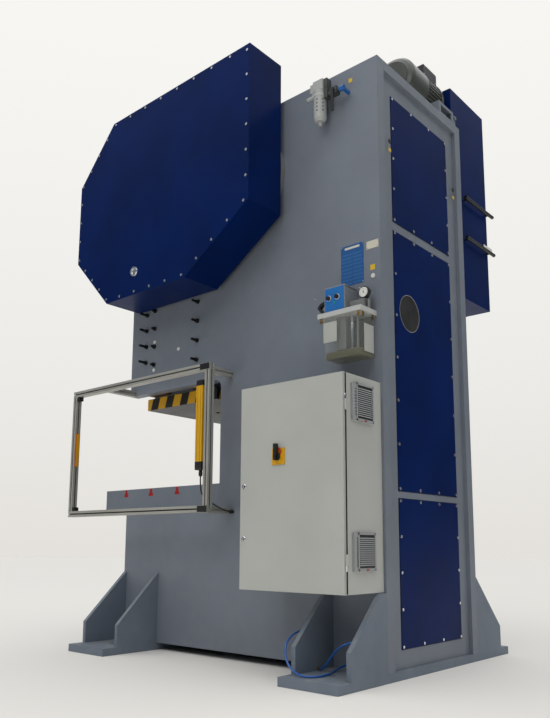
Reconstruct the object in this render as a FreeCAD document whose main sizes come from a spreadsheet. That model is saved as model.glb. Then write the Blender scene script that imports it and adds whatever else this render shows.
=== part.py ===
"""C-frame mechanical stamping press, as a parametric FreeCAD document.

Axes: +X is the operator's right, -Y the front of the press, +Z up. The origin lies on the
floor, in the middle of the four anchor bolt holes. All lengths are in millimetres.
"""

import FreeCAD, Part
import math
import os
import re

import Sketcher

# --------------------------------------------------------------------------------------------
# Driving dimensions. Each name is an alias in the sheet.
# --------------------------------------------------------------------------------------------

SIZES = (
    # welded C-frame
    ("frame_width", 1100), ("frame_depth", 2350), ("frame_height", 3790),
    ("side_thickness", 75), ("crown_thickness", 65), ("web_thickness", 25),
    ("seat_height", 1000), ("jaw_height", 1900), ("throat_depth", 1015),
    ("throat_corner", 60),
    ("bolster_thickness", 165), ("bolster_overhang", 262), ("slot_count", 4),
    ("slot_pitch", 295), ("slot_neck", 28), ("slot_base", 50), ("slot_base_height", 24),
    ("slot_depth", 58), ("first_slot_offset", -10),
    # feet
    ("base_thickness", 50), ("foot_length", 400), ("foot_reach", 465),
    ("gusset_thickness", 30), ("gusset_reach", 350), ("gusset_height", 495),
    ("gusset_toe", 148), ("gusset_relief", 4), ("anchor_radius", 21), ("anchor_reach", 240),
    # rear wall and its sheet covers
    ("rear_recess", 25), ("rear_cover_width", 730), ("rear_cover_lap", 35),
    ("sheet_thickness", 4), ("lower_cover_bottom", 160), ("lower_cover_height", 862),
    ("middle_cover_bottom", 1066), ("middle_cover_height", 1626),
    ("upper_cover_bottom", 2752), ("upper_cover_height", 853),
    ("vent_radius", 120), ("vent_offset", 190), ("vent_height", 2192), ("vent_depth", 60),
    ("screw_head_radius", 9), ("screw_head_height", 5),
    # crank drive
    ("crank_offset", 455), ("crank_height", 3270), ("crank_throw", 80),
    ("journal_radius", 110), ("bush_wall", 40), ("crankpin_radius", 95),
    ("running_gap", 0.05), ("gear_module", 16), ("gear_teeth", 84), ("pinion_teeth", 18),
    ("gear_face", 150), ("gear_inset", 95), ("pinion_shaft_radius", 70),
    ("housing_radius", 330), ("housing_bore_wall", 60), ("housing_thickness", 40),
    ("web_width", 75), ("web_gap", 10), ("bush_rim", 60), ("bush_stand", 40),
    ("flywheel_radius", 560), ("flywheel_width", 190), ("flywheel_inset", 105),
    ("rim_depth", 110), ("hub_wall", 70), ("clutch_radius", 260), ("clutch_width", 150),
    # motor and belts
    ("motor_y", 907), ("motor_height", 4044), ("motor_radius", 175), ("motor_near", -125),
    ("motor_length", 385), ("shield_length", 30), ("shaft_socket", 55),
    ("cowl_length", 75), ("cowl_straight", 38), ("cowl_lap", 161), ("motor_shaft_radius", 24),
    ("motor_base_height", 68), ("motor_foot_height", 18), ("motor_foot_length", 180),
    ("bracket_height", 107), ("bracket_depth", 88), ("bracket_near", -277),
    ("pulley_radius", 90), ("belt_count", 5), ("belt_pitch", 28), ("belt_width", 17),
    ("belt_height", 11), ("belt_gap", 0.3),
    # gear cover on the right wall
    ("cover_gap", 47), ("gear_cover_depth", 318), ("gear_cover_rear", 424),
    ("gear_cover_front", -1447), ("gear_cover_bottom", 2550), ("gear_cover_top", 4032),
    ("rear_chamfer_y", 591), ("rear_chamfer_z", 382), ("front_chamfer_y", 406),
    ("front_chamfer_z", 415), ("stud_radius", 12),
    # flywheel cover on the left wall
    ("fly_cover_depth", 540), ("fly_cover_rear", 1115), ("fly_cover_front", -490),
    ("fly_cover_bottom", 2535), ("fly_cover_top", 4150), ("fly_cover_chamfer", 420),
    ("upper_bar_height", 3310), ("lower_bar_height", 2995), ("bar_reach", 34),
    ("bar_radius", 13), ("bar_stem_radius", 9),
    # ram
    ("slide_width", 800), ("slide_depth", 680), ("slide_height", 670), ("flange_width", 850),
    ("flange_depth", 782), ("flange_height", 90), ("flange_gap", 10), ("cavity_width", 300),
    ("cavity_depth", 330), ("cavity_floor", 250), ("shank_radius", 35), ("shank_depth", 90),
    ("gib_gap", 0.3), ("gib_length", 200), ("ball_radius", 75), ("screw_radius", 55),
    ("rod_width", 200), ("rod_wall", 70), ("rod_length", 640),
    ("gib_screw_radius", 10), ("nut_width", 30), ("nut_height", 16),
    # electrical cabinet
    ("cabinet_gap", 2), ("cabinet_depth", 377), ("cabinet_width", 756),
    ("cabinet_height", 1195), ("cabinet_bottom", 489), ("cabinet_rear_gap", 16),
    ("cabinet_wall", 2), ("door_thickness", 20), ("door_gap", 0.5), ("hinge_radius", 5.7),
    ("hinge_offset", 6), ("grille_size", 205), ("grille_depth", 14), ("lock_radius", 13),
    ("lower_lock_height", 779), ("upper_lock_height", 1088), ("lock_inset", 32),
    ("switch_inset", 300), ("switch_height", 1250), ("switch_plate_size", 96),
    ("door_rim", 25),
    # lubricator
    ("tank_width", 258), ("tank_depth", 150), ("tank_height", 262), ("tank_bottom", 1832),
    ("tank_y", 1000), ("tank_wall", 3), ("lid_height", 30), ("lid_overhang", 12),
    ("timer_width", 150), ("timer_height", 165), ("timer_depth", 128), ("timer_overhang", 15),
    ("knob_radius", 14), ("knob_height", 96), ("left_knob_inset", 32), ("right_knob_inset", 94),
    ("gauge_radius", 36), ("gauge_offset", 104), ("gauge_height", 104),
    # compressed-air service unit
    ("filter_y", 776), ("filter_height", 3690), ("filter_offset", 70), ("bowl_radius", 42),
    ("valve_drop", 70), ("valve_offset", 124),
    # side guard and light curtain
    ("profile_size", 45), ("profile_slot", 10), ("profile_slot_depth", 12),
    ("guard_reach", 242), ("guard_front", -1532), ("guard_rear", 20),
    ("guard_bottom", 952), ("guard_top", 1940), ("curtain_size", 52), ("curtain_length", 505),
    ("curtain_bottom", 1285),
    # compressed-air hose and curtain cable
    ("hose_diameter", 12), ("cable_diameter", 9),
)

WALL = "(frame_width / 2)"
INNER = f"({WALL} - side_thickness)"
FRONT = "(-frame_depth / 2)"
REAR = "(frame_depth / 2)"
CROWN_BOTTOM = "(frame_height - crown_thickness)"
THROAT_BACK = f"({FRONT} + throat_depth)"
BOLSTER_TOP = "(seat_height + bolster_thickness)"
REAR_FACE = f"({REAR} - rear_recess)"
CRANK_Y = f"({FRONT} + crank_offset)"
CENTRE_DISTANCE = "(gear_module * (gear_teeth + pinion_teeth) / 2)"
PINION_Y = f"({CRANK_Y} + {CENTRE_DISTANCE})"
GEAR_START = f"({WALL} + gear_inset)"
FLYWHEEL_START = f"(-{WALL} - flywheel_inset)"
BELT_START = f"({FLYWHEEL_START} - flywheel_width / 2 - belt_pitch * (belt_count - 1) / 2)"
GEAR_COVER_BACK = f"({WALL} + cover_gap)"
GEAR_COVER_FACE = f"({GEAR_COVER_BACK} + gear_cover_depth)"
SLIDE_BOTTOM = "(jaw_height - flange_gap - flange_height)"
FLANGE_TOP = "(jaw_height - flange_gap)"
PIN_HEIGHT = "(crank_height + crank_throw)"
CABINET_BACK = f"({WALL} + cabinet_gap)"
CABINET_FACE = f"({CABINET_BACK} + cabinet_depth)"
DOOR_BACK = f"({CABINET_FACE} - door_thickness)"
CABINET_REAR = f"({REAR} - cabinet_rear_gap)"
CABINET_FRONT = f"({CABINET_REAR} - cabinet_width)"
CABINET_TOP = "(cabinet_bottom + cabinet_height)"
TANK_BACK = f"({WALL} + 6)"
TANK_FACE = f"({TANK_BACK} + tank_depth)"
TANK_TOP = "(tank_bottom + tank_height)"
LID_TOP = f"({TANK_TOP} + lid_height)"
GUARD_X = f"({WALL} + guard_reach)"
FILTER_X = f"({WALL} + filter_offset)"

doc = FreeCAD.newDocument("stamping_press")
sheet = doc.addObject("Spreadsheet::Sheet", "Dimensions")
sub_parts = []
helper_count = 0


def fill_sheet():
    """Write each driving dimension into the sheet and name its cell."""
    for row, (name, number) in enumerate(SIZES, start=1):
        sheet.set(f"A{row}", name)
        sheet.set(f"B{row}", str(number))
        sheet.setAlias(f"B{row}", name)
    doc.recompute()


def bound(text):
    """Return an expression that reads each size name from the sheet."""
    return re.sub(r"\b([a-z]+(?:_[a-z]+)+)\b", r"Dimensions.\1", str(text))


def value(text):
    """Return the number that an expression in size names comes to."""
    result = sheet.evalExpression(bound(text))
    return float(getattr(result, "Value", result))


def vector(x, y, z):
    """Return the vector of three expressions."""
    return FreeCAD.Vector(value(x), value(y), value(z))


def name_for(label):
    """Return the label of a sub-part, or a fresh name for a helper solid."""
    global helper_count
    if label:
        return label
    helper_count += 1
    return f"helper_{helper_count}"


def publish(label, shape_object):
    """Give a finished object its label and list it as a sub-part."""
    shape_object.Label = label
    sub_parts.append(shape_object)
    return shape_object


def place(shape_object, x, y, z):
    """Bind an object's position to three expressions."""
    shape_object.setExpression("Placement.Base.x", bound(x))
    shape_object.setExpression("Placement.Base.y", bound(y))
    shape_object.setExpression("Placement.Base.z", bound(z))


# --------------------------------------------------------------------------------------------
# Primitives bound to the sheet
# --------------------------------------------------------------------------------------------

def box(x, y, z, label=None):
    """Add a box between pairs of expressions."""
    block = doc.addObject("Part::Box", name_for(label))
    for size, (low, high) in zip(("Length", "Width", "Height"), (x, y, z)):
        block.setExpression(size, bound(f"({high}) - ({low})"))
    place(block, x[0], y[0], z[0])
    return block


AXIS_TURN = {
    "X": FreeCAD.Rotation(FreeCAD.Vector(0, 1, 0), 90),
    "Y": FreeCAD.Rotation(FreeCAD.Vector(1, 0, 0), -90),
    "Z": FreeCAD.Rotation(),
}


def rod(axis, at, radius, length, label=None):
    """Add a cylinder from its base centre along an axis."""
    cylinder = doc.addObject("Part::Cylinder", name_for(label))
    cylinder.Placement = FreeCAD.Placement(FreeCAD.Vector(), AXIS_TURN[axis])
    cylinder.setExpression("Radius", bound(radius))
    cylinder.setExpression("Height", bound(length))
    place(cylinder, *at)
    return cylinder


def hexagon(axis, at, across, length):
    """Add a hexagonal prism, given its width across flats."""
    prism_object = doc.addObject("Part::Prism", name_for(None))
    prism_object.Polygon = 6
    prism_object.Placement = FreeCAD.Placement(FreeCAD.Vector(), AXIS_TURN[axis])
    prism_object.setExpression("Circumradius", bound(f"({across}) / sqrt(3)"))
    prism_object.setExpression("Height", bound(length))
    place(prism_object, *at)
    return prism_object


def joined(solids, label=None):
    """Fuse solids that are welded or cast in one."""
    fusion = doc.addObject("Part::MultiFuse", name_for(label))
    fusion.Shapes = solids
    fusion.Refine = True
    return fusion


def cut(base, tools, label=None):
    """Cut tools out of a base."""
    tool = tools[0] if len(tools) == 1 else joined(tools)
    difference = doc.addObject("Part::Cut", name_for(label))
    difference.Base = base
    difference.Tool = tool
    return difference


def cluster(label, solids):
    """Publish separate solids that share one node."""
    group = doc.addObject("Part::Compound", label)
    group.Links = solids
    return publish(label, group)


def tube(axis, at, outer, inner, length, label=None):
    """Add a round tube or ring."""
    return cut(rod(axis, at, outer, length), [rod(axis, at, inner, length)], label)


# --------------------------------------------------------------------------------------------
# Sketched bodies
# --------------------------------------------------------------------------------------------

def origin_plane(body, role):
    """Return one of a body's origin planes."""
    return next(plane for plane in body.Origin.OriginFeatures if plane.Role == role)


def bind_point(sketch, geometry, position, x, y):
    """Fix a sketch point's two coordinates to expressions."""
    for kind, text in (("DistanceX", x), ("DistanceY", y)):
        constraint = Sketcher.Constraint(kind, geometry, position, value(text))
        index = sketch.addConstraint(constraint)
        sketch.setExpression(f"Constraints[{index}]", bound(text))


def add_polygon(sketch, corners):
    """Draw a closed outline whose corners are bound to expressions."""
    points = [FreeCAD.Vector(value(x), value(y), 0) for x, y in corners]
    first = sketch.GeometryCount
    count = len(points)
    lines = [Part.LineSegment(points[i], points[(i + 1) % count]) for i in range(count)]
    sketch.addGeometry(lines, False)
    sketch.addConstraint([
        Sketcher.Constraint("Coincident", first + i, 2, first + (i + 1) % count, 1)
        for i in range(count)])
    for index, (x, y) in enumerate(corners):
        bind_point(sketch, first + index, 1, x, y)


def add_circle(sketch, x, y, radius):
    """Draw a circle bound to expressions."""
    centre = FreeCAD.Vector(value(x), value(y), 0)
    circle = Part.Circle(centre, FreeCAD.Vector(0, 0, 1), value(radius))
    geometry = sketch.addGeometry(circle, False)
    bind_point(sketch, geometry, 3, x, y)
    index = sketch.addConstraint(Sketcher.Constraint("Radius", geometry, value(radius)))
    sketch.setExpression(f"Constraints[{index}]", bound(radius))


def sketched_body(role, outlines, circles=()):
    """Start a body with one sketch on an origin plane."""
    body = doc.addObject("PartDesign::Body", name_for(None))
    sketch = body.newObject("Sketcher::SketchObject", body.Name + "_sketch")
    sketch.AttachmentSupport = [(origin_plane(body, role), "")]
    sketch.MapMode = "FlatFace"
    for corners in outlines:
        add_polygon(sketch, corners)
    for circle in circles:
        add_circle(sketch, *circle)
    return body, sketch


def prism(role, outlines, span, circles=()):
    """Pad a sketch between two positions along its plane's axis.

    The plane is XY_Plane, XZ_Plane or YZ_Plane, and the pad runs toward the positive side.
    """
    body, sketch = sketched_body(role, outlines, circles)
    pad = body.newObject("PartDesign::Pad", body.Name + "_pad")
    pad.Profile = sketch
    pad.Reversed = role == "XZ_Plane"
    low, high = span
    pad.setExpression("Length", bound(f"({high}) - ({low})"))
    start = {"YZ_Plane": (low, "0", "0"), "XZ_Plane": ("0", low, "0"),
             "XY_Plane": ("0", "0", low)}[role]
    place(body, *start)
    doc.recompute()
    return body


def turned(axis, profile, at):
    """Revolve a profile of (along, radius) corners about an axis through a point."""
    role = "YZ_Plane" if axis == "Y" else "XZ_Plane"
    corners = [(radius, along) if axis == "Z" else (along, radius) for along, radius in profile]
    body, sketch = sketched_body(role, [corners])
    revolution = body.newObject("PartDesign::Revolution", body.Name + "_turn")
    revolution.Profile = sketch
    revolution.ReferenceAxis = (sketch, ["V_Axis" if axis == "Z" else "H_Axis"])
    revolution.Angle = 360
    place(body, *at)
    doc.recompute()
    return body


def edges_at(shape, places):
    """Name the edges whose middles lie at the given (axis, expression) coordinates."""
    names = []
    for index, edge in enumerate(shape.Edges, start=1):
        middle = edge.CenterOfMass
        for wanted in places:
            offsets = [abs(getattr(middle, axis) - value(text)) for axis, text in wanted]
            if max(offsets) < 0.01:
                names.append(f"Edge{index}")
    return names


def rounded(body, places, radius):
    """Round the edges of a body's last feature that lie at the given places."""
    base = body.Tip
    fillet = body.newObject("PartDesign::Fillet", body.Name + "_fillet")
    fillet.Base = (base, edges_at(base.Shape, places))
    fillet.setExpression("Radius", bound(radius))
    doc.recompute()
    return body


def rectangle(x, y):
    """Return a rectangle's corners from two pairs of expressions."""
    return [(x[0], y[0]), (x[1], y[0]), (x[1], y[1]), (x[0], y[1])]


# --------------------------------------------------------------------------------------------
# Frame
# --------------------------------------------------------------------------------------------

def side_plate(label, low, high):
    """Build one C-shaped side plate with its throat and its shaft bores."""
    outline = [
        (FRONT, "base_thickness"), (REAR, "base_thickness"), (REAR, "frame_height"),
        (FRONT, "frame_height"), (FRONT, "jaw_height"), (THROAT_BACK, "jaw_height"),
        (THROAT_BACK, "seat_height"), (FRONT, "seat_height")]
    bores = [(CRANK_Y, "crank_height", "journal_radius + bush_wall"),
             (PINION_Y, "crank_height", "pinion_shaft_radius + housing_bore_wall")]
    body = prism("YZ_Plane", [outline], (low, high), bores)
    rounded(body, [[("y", THROAT_BACK), ("z", "jaw_height")]], "throat_corner")
    return publish(label, body)


def build_walls():
    """Build the side plates, the crown and the welded plates between them."""
    side_plate("right_side_plate", INNER, WALL)
    side_plate("left_side_plate", f"-{WALL}", f"-{INNER}")
    across = (f"-{INNER}", INNER)
    publish("crown_plate", box(across, (FRONT, REAR), (CROWN_BOTTOM, "frame_height")))
    bed_top = ("seat_height - crown_thickness", "seat_height")
    front_wall_bottom = f"{FLANGE_TOP} + slide_height + 20"
    cluster("cross_plates", [
        box(across, (FRONT, f"{FRONT} + web_thickness"), (front_wall_bottom, CROWN_BOTTOM)),
        box(across, (FRONT, THROAT_BACK), bed_top),
        box(across, (FRONT, f"{FRONT} + web_thickness"), ("base_thickness", bed_top[0])),
        box(across, (THROAT_BACK, f"{THROAT_BACK} + web_thickness"),
            ("base_thickness", CROWN_BOTTOM))])


def build_rear_wall():
    """Build the welded strips that frame the three rear openings."""
    half_opening = "(rear_cover_width / 2 - rear_cover_lap)"
    depth = (f"{REAR_FACE} - web_thickness", REAR_FACE)
    upright = ("base_thickness", CROWN_BOTTOM)
    strips = [box((f"-{INNER}", f"-{half_opening}"), depth, upright),
              box((half_opening, INNER), depth, upright)]
    covers = ["lower_cover", "middle_cover", "upper_cover"]
    lows = ["base_thickness"] + [f"{name}_bottom + {name}_height - rear_cover_lap"
                                 for name in covers]
    highs = [f"{name}_bottom + rear_cover_lap" for name in covers] + [CROWN_BOTTOM]
    for low, high in zip(lows, highs):
        strips.append(box((f"-{half_opening}", half_opening), depth, (low, high)))
    cluster("rear_wall", strips)


def foot(low, high):
    """Build a welded foot: a floor plate, its anchor holes and four gussets."""
    middle = f"(({low}) + ({high})) / 2"
    reach = f"({WALL} + foot_reach)"
    anchor = f"({WALL} + anchor_reach)"
    plate = prism("XY_Plane", [rectangle((f"-{reach}", reach), (low, high))],
                  ("0", "base_thickness"),
                  [(f"-{anchor}", middle, "anchor_radius"), (anchor, middle, "anchor_radius")])
    pieces = [plate]
    for side in (-1, 1):
        corners = [(f"{side} * {WALL}", "base_thickness"),
                   (f"{side} * ({WALL} + gusset_reach)", "base_thickness"),
                   (f"{side} * ({WALL} + gusset_reach)", "base_thickness + gusset_toe"),
                   (f"{side} * {WALL}", "base_thickness + gusset_height")]
        pieces.append(prism("XZ_Plane", [corners], (low, f"{low} + gusset_thickness")))
        pieces.append(prism("XZ_Plane", [corners], (f"{high} - gusset_thickness", high)))
    return joined(pieces)


def build_feet():
    """Build the front foot, and the rear foot with two gussets cut back under the cabinet."""
    publish("front_foot", foot(FRONT, f"{FRONT} + foot_length"))
    low = f"{REAR} - foot_length"
    relief = box((WALL, CABINET_FACE), (f"{low} - 1", f"{REAR} + 1"),
                 ("cabinet_bottom - gusset_relief", CABINET_TOP))
    publish("rear_foot", cut(foot(low, REAR), [relief]))


def build_bolster():
    """Build the bolster plate with T-slots that run from side to side."""
    front = f"({FRONT} - bolster_overhang)"
    first_slot = f"({FRONT} + first_slot_offset)"
    corners = [(THROAT_BACK, "seat_height"), (THROAT_BACK, BOLSTER_TOP)]
    base_top = f"{BOLSTER_TOP} - slot_depth + slot_base_height"
    for index in reversed(range(int(value("slot_count")))):
        middle = f"({first_slot} + {index} * slot_pitch)"
        corners += [
            (f"{middle} + slot_neck / 2", BOLSTER_TOP), (f"{middle} + slot_neck / 2", base_top),
            (f"{middle} + slot_base / 2", base_top),
            (f"{middle} + slot_base / 2", f"{BOLSTER_TOP} - slot_depth"),
            (f"{middle} - slot_base / 2", f"{BOLSTER_TOP} - slot_depth"),
            (f"{middle} - slot_base / 2", base_top),
            (f"{middle} - slot_neck / 2", base_top), (f"{middle} - slot_neck / 2", BOLSTER_TOP)]
    corners += [(front, BOLSTER_TOP), (front, "seat_height")]
    publish("bolster", prism("YZ_Plane", [corners], (f"-{WALL}", WALL)))


# --------------------------------------------------------------------------------------------
# Rear covers, gear cover and flywheel cover
# --------------------------------------------------------------------------------------------

def build_rear_covers():
    """Build the three sheet covers on the rear wall and the round vent in one of them."""
    half = "(rear_cover_width / 2)"
    span = (REAR_FACE, f"{REAR_FACE} + sheet_thickness")
    for name in ("lower_cover", "middle_cover", "upper_cover"):
        height = (f"{name}_bottom", f"{name}_bottom + {name}_height")
        holes = [("vent_offset", "vent_height", "vent_radius")] if name == "middle_cover" else []
        cover = prism("XZ_Plane", [rectangle((f"-{half}", half), height)], span, holes)
        publish("rear_" + name, cover)
    floor = f"{REAR_FACE} - vent_depth"
    cup = cut(rod("Y", ("vent_offset", floor, "vent_height"), "vent_radius",
                  "vent_depth + sheet_thickness"),
              [rod("Y", ("vent_offset", f"{floor} + 5", "vent_height"), "vent_radius - 4",
                   "vent_depth + sheet_thickness")])
    disc = rod("Y", ("vent_offset", f"{floor} + 5", "vent_height"), "vent_radius - 25", "12")
    publish("vent_cap", joined([cup, disc]))


def screw_places_rear():
    """Return the middles of the rear covers' screws, as (x, y, z) expressions."""
    places = []
    edge = "(rear_cover_width / 2 - 14)"
    face = f"{REAR_FACE} + sheet_thickness"
    for name, rows in (("lower_cover", 4), ("middle_cover", 6), ("upper_cover", 4)):
        low, step = f"({name}_bottom + 14)", f"(({name}_height - 28) / {rows})"
        for row in range(rows + 1):
            places += [(f"-{edge}", face, f"{low} + {row} * {step}"),
                       (edge, face, f"{low} + {row} * {step}")]
        for column in (1, 2):
            across = f"{edge} * ({2 * column} / 3 - 1)"
            places += [(across, face, low), (across, face, f"{low} + {rows} * {step}")]
    return places


def gear_cover_outline(inset):
    """Return the gear cover's outline in Y and Z, moved inward by an inset."""
    rear, front = f"gear_cover_rear - {inset}", f"gear_cover_front + {inset}"
    bottom, top = f"gear_cover_bottom + {inset}", f"gear_cover_top - {inset}"
    slope = f"{inset} * 0.41"
    return [
        (rear, top), (rear, f"gear_cover_bottom + rear_chamfer_z + {slope}"),
        (f"gear_cover_rear - rear_chamfer_y - {slope}", bottom),
        (f"gear_cover_front + front_chamfer_y + {slope}", bottom),
        (front, f"gear_cover_bottom + front_chamfer_z + {slope}"),
        (front, f"gear_cover_top - front_chamfer_z - {slope}"),
        (f"gear_cover_front + front_chamfer_y + {slope}", top)]


GEAR_COVER_INTERVALS = (6, 4, 5, 4, 4, 4, 8)


def screw_places_gear_cover():
    """Return the middles of the gear cover's screws, spaced along its edges."""
    corners = gear_cover_outline("22")
    places = []
    for index, intervals in enumerate(GEAR_COVER_INTERVALS):
        (y0, z0), (y1, z1) = corners[index], corners[(index + 1) % len(corners)]
        for step in range(intervals):
            share = (step + 0.12) / intervals
            places.append((GEAR_COVER_FACE, f"({y0}) + (({y1}) - ({y0})) * {share}",
                           f"({z0}) + (({z1}) - ({z0})) * {share}"))
    return places


def build_cover_screws():
    """Build every cover screw's head, standing on the sheet it holds."""
    heads = [rod("Y", at, "screw_head_radius", "screw_head_height")
             for at in screw_places_rear()]
    heads += [rod("X", at, "screw_head_radius", "screw_head_height")
              for at in screw_places_gear_cover()]
    cluster("cover_screws", heads)


def build_gear_cover():
    """Build the eight-sided gear cover: folded shell, screwed face, studs, sight glass."""
    shafts = [(CRANK_Y, "crank_height", "journal_radius + 25"),
              (PINION_Y, "crank_height", "pinion_shaft_radius + 25")]
    face_back = f"({GEAR_COVER_FACE} - sheet_thickness)"
    outer = gear_cover_outline("0")
    back = prism("YZ_Plane", [outer], (GEAR_COVER_BACK, f"{GEAR_COVER_BACK} + sheet_thickness"),
                 shafts)
    band = prism("YZ_Plane", [outer, gear_cover_outline("sheet_thickness")],
                 (f"{GEAR_COVER_BACK} + sheet_thickness", face_back))
    flange = prism("YZ_Plane", [outer, gear_cover_outline("40")],
                   (f"{face_back} - sheet_thickness", face_back))
    publish("gear_cover_shell", joined([back, band, flange]))
    sight = (f"{CRANK_Y} + 1", "gear_cover_bottom + 176", "30")
    publish("gear_cover_face", prism("YZ_Plane", [outer], (face_back, GEAR_COVER_FACE), [sight]))
    rim = [("-10", "0"), ("-10", "29.7"), ("0", "29.7"), ("0", "38"), ("10", "34"),
           ("10", "24"), ("2", "22"), ("2", "0")]
    publish("oil_sight_glass", turned("X", rim, (GEAR_COVER_FACE, sight[0], sight[1])))
    places = [(f"{FRONT} + 60", "gear_cover_top - 450"), (f"{FRONT} + 60", "gear_cover_top - 900"),
              (f"{CRANK_Y} - 240", "gear_cover_bottom + 45"),
              ("gear_cover_rear - rear_chamfer_y - 40", "gear_cover_bottom + 45"),
              ("gear_cover_rear - 45", "frame_height - 60")]
    cluster("cover_studs", [rod("X", (WALL, y, z), "stud_radius", "cover_gap")
                            for y, z in places])


def fly_cover_outline(inset):
    """Return the flywheel cover's outline in Y and Z, moved inward by an inset."""
    rear, front = f"fly_cover_rear - {inset}", f"fly_cover_front + {inset}"
    bottom, top = f"fly_cover_bottom + {inset}", f"fly_cover_top - {inset}"
    slope = f"{inset} * 0.41"
    return [
        (rear, top), (rear, bottom), (f"fly_cover_front + fly_cover_chamfer + {slope}", bottom),
        (front, f"fly_cover_bottom + fly_cover_chamfer + {slope}"),
        (front, f"fly_cover_top - fly_cover_chamfer - {slope}"),
        (f"fly_cover_front + fly_cover_chamfer + {slope}", top)]


def build_flywheel_cover():
    """Build the flywheel and belt cover with its two grab bars."""
    face = f"(-{WALL} - fly_cover_depth)"
    back = f"(-{WALL} - sheet_thickness)"
    outer = fly_cover_outline("0")
    openings = [(PINION_Y, "crank_height", "housing_radius + 10"),
                ("motor_y", "motor_height", "motor_shaft_radius + 20")]
    pieces = [
        prism("YZ_Plane", [outer, fly_cover_outline("sheet_thickness")],
              (f"{face} + sheet_thickness", back)),
        prism("YZ_Plane", [outer], (face, f"{face} + sheet_thickness")),
        prism("YZ_Plane", [outer], (back, f"-{WALL}"), openings)]
    publish("flywheel_cover", joined(pieces))
    bars = []
    for height in ("upper_bar_height", "lower_bar_height"):
        bar_y = "(fly_cover_rear + bar_reach)"
        bars.append(joined([
            rod("X", (f"{face} - 40", bar_y, height), "bar_radius", "fly_cover_depth - 80"),
            rod("Y", (f"{face} + 25", "fly_cover_rear", height), "bar_stem_radius", "bar_reach"),
            rod("Y", (f"-{WALL} - 160", "fly_cover_rear", height), "bar_stem_radius",
                "bar_reach")]))
    cluster("cover_bars", bars)


# --------------------------------------------------------------------------------------------
# Crank drive
# --------------------------------------------------------------------------------------------

PRESSURE_SLOPE = math.tan(math.radians(20))
TOOTH_SHARE = 0.42


def toothed_face(teeth, module, phase, bore):
    """Return the face, normal to X, of a spur gear with straight flanks."""
    pitch_radius = teeth * module / 2
    tip, root = pitch_radius + module, pitch_radius - 1.25 * module
    half = math.pi * module * TOOTH_SHARE / 2
    tip_angle = (half - module * PRESSURE_SLOPE) / tip
    root_angle = (half + 1.25 * module * PRESSURE_SLOPE) / root
    points = []
    for tooth in range(teeth):
        middle = phase + 2 * math.pi * tooth / teeth
        for radius, offset in ((root, -root_angle), (tip, -tip_angle),
                               (tip, tip_angle), (root, root_angle)):
            angle = middle + offset
            points.append(FreeCAD.Vector(0, radius * math.cos(angle), radius * math.sin(angle)))
    outline = Part.makePolygon(points + points[:1])
    hole = Part.Wire(Part.makeCircle(bore, FreeCAD.Vector(), FreeCAD.Vector(1, 0, 0)))
    return Part.makeFace([outline, hole], "Part::FaceMakerBullseye")


def gear_feature(teeth, phase, bore, length):
    """Add a gear as a feature of its own and return it."""
    face = toothed_face(int(value(teeth)), value("gear_module"), phase, value(bore))
    feature = doc.addObject("Part::Feature", name_for(None))
    feature.Shape = face.extrude(FreeCAD.Vector(value(length), 0, 0))
    return feature


def build_gears():
    """Build the bull gear on the crankshaft and the pinion on its shaft."""
    disc = gear_feature("gear_teeth", 0, "journal_radius", "gear_face")
    place(disc, GEAR_START, CRANK_Y, "crank_height")
    recess = tube("X", (f"{GEAR_START} + gear_face - 40", CRANK_Y, "crank_height"),
                  "gear_module * gear_teeth / 2 - 90", "journal_radius + 80", "50")
    publish("bull_gear", cut(disc, [recess]))
    half_pitch = math.pi / value("pinion_teeth")
    pinion = gear_feature("pinion_teeth", math.pi + half_pitch, "pinion_shaft_radius - 20",
                          "gear_face + 10")
    place(pinion, f"{GEAR_START} - 5", PINION_Y, "crank_height")
    left_end = f"({FLYWHEEL_START} - flywheel_width - clutch_width - 25)"
    shaft = rod("X", (left_end, PINION_Y, "crank_height"), "pinion_shaft_radius",
                f"{GEAR_START} + gear_face + 35 - {left_end}")
    publish("pinion_shaft", joined([shaft, pinion]))


def build_crankshaft():
    """Build the crankshaft at top dead centre and the bushes that carry it."""
    left_end = f"(-{WALL} - 42)"
    right_end = f"({GEAR_START} + gear_face + 40)"
    web = "web_width"
    gap = "(rod_width / 2 + web_gap)"
    pieces = [
        rod("X", (left_end, CRANK_Y, "crank_height"), "journal_radius",
            f"-{gap} - {web} - {left_end}"),
        rod("X", (f"{gap} + {web}", CRANK_Y, "crank_height"), "journal_radius",
            f"{right_end} - {gap} - {web}"),
        rod("X", (f"-{gap}", CRANK_Y, PIN_HEIGHT), "crankpin_radius", f"2 * {gap}"),
        rod("X", (f"-{gap} - {web}", CRANK_Y, "crank_height + crank_throw / 2"),
            "journal_radius + crank_throw", web),
        rod("X", (gap, CRANK_Y, "crank_height + crank_throw / 2"),
            "journal_radius + crank_throw", web)]
    publish("crankshaft", joined(pieces))
    bushes = [tube("X", (start, CRANK_Y, "crank_height"), "journal_radius + bush_wall",
                   "journal_radius + running_gap", "side_thickness + bush_stand")
              for start in (INNER, f"-{WALL} - bush_stand")]
    rims = [tube("X", (start, CRANK_Y, "crank_height"), "journal_radius + bush_wall + bush_rim",
                 "journal_radius + bush_wall", "bush_stand")
            for start in (WALL, f"-{WALL} - bush_stand")]
    cluster("crank_bushes", [joined([bush, rim]) for bush, rim in zip(bushes, rims)])


def build_bearing_housings():
    """Build the two flanged bearing housings of the pinion shaft."""
    bore = "pinion_shaft_radius + running_gap"
    seat = "pinion_shaft_radius + housing_bore_wall"
    housings = []
    for start, sleeve in ((WALL, INNER), (f"-{WALL} - housing_thickness", f"-{WALL}")):
        flange = tube("X", (start, PINION_Y, "crank_height"), "housing_radius", bore,
                      "housing_thickness")
        neck = tube("X", (sleeve, PINION_Y, "crank_height"), seat, bore, "side_thickness")
        housings.append(joined([flange, neck]))
    cluster("pinion_bearings", housings)


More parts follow.
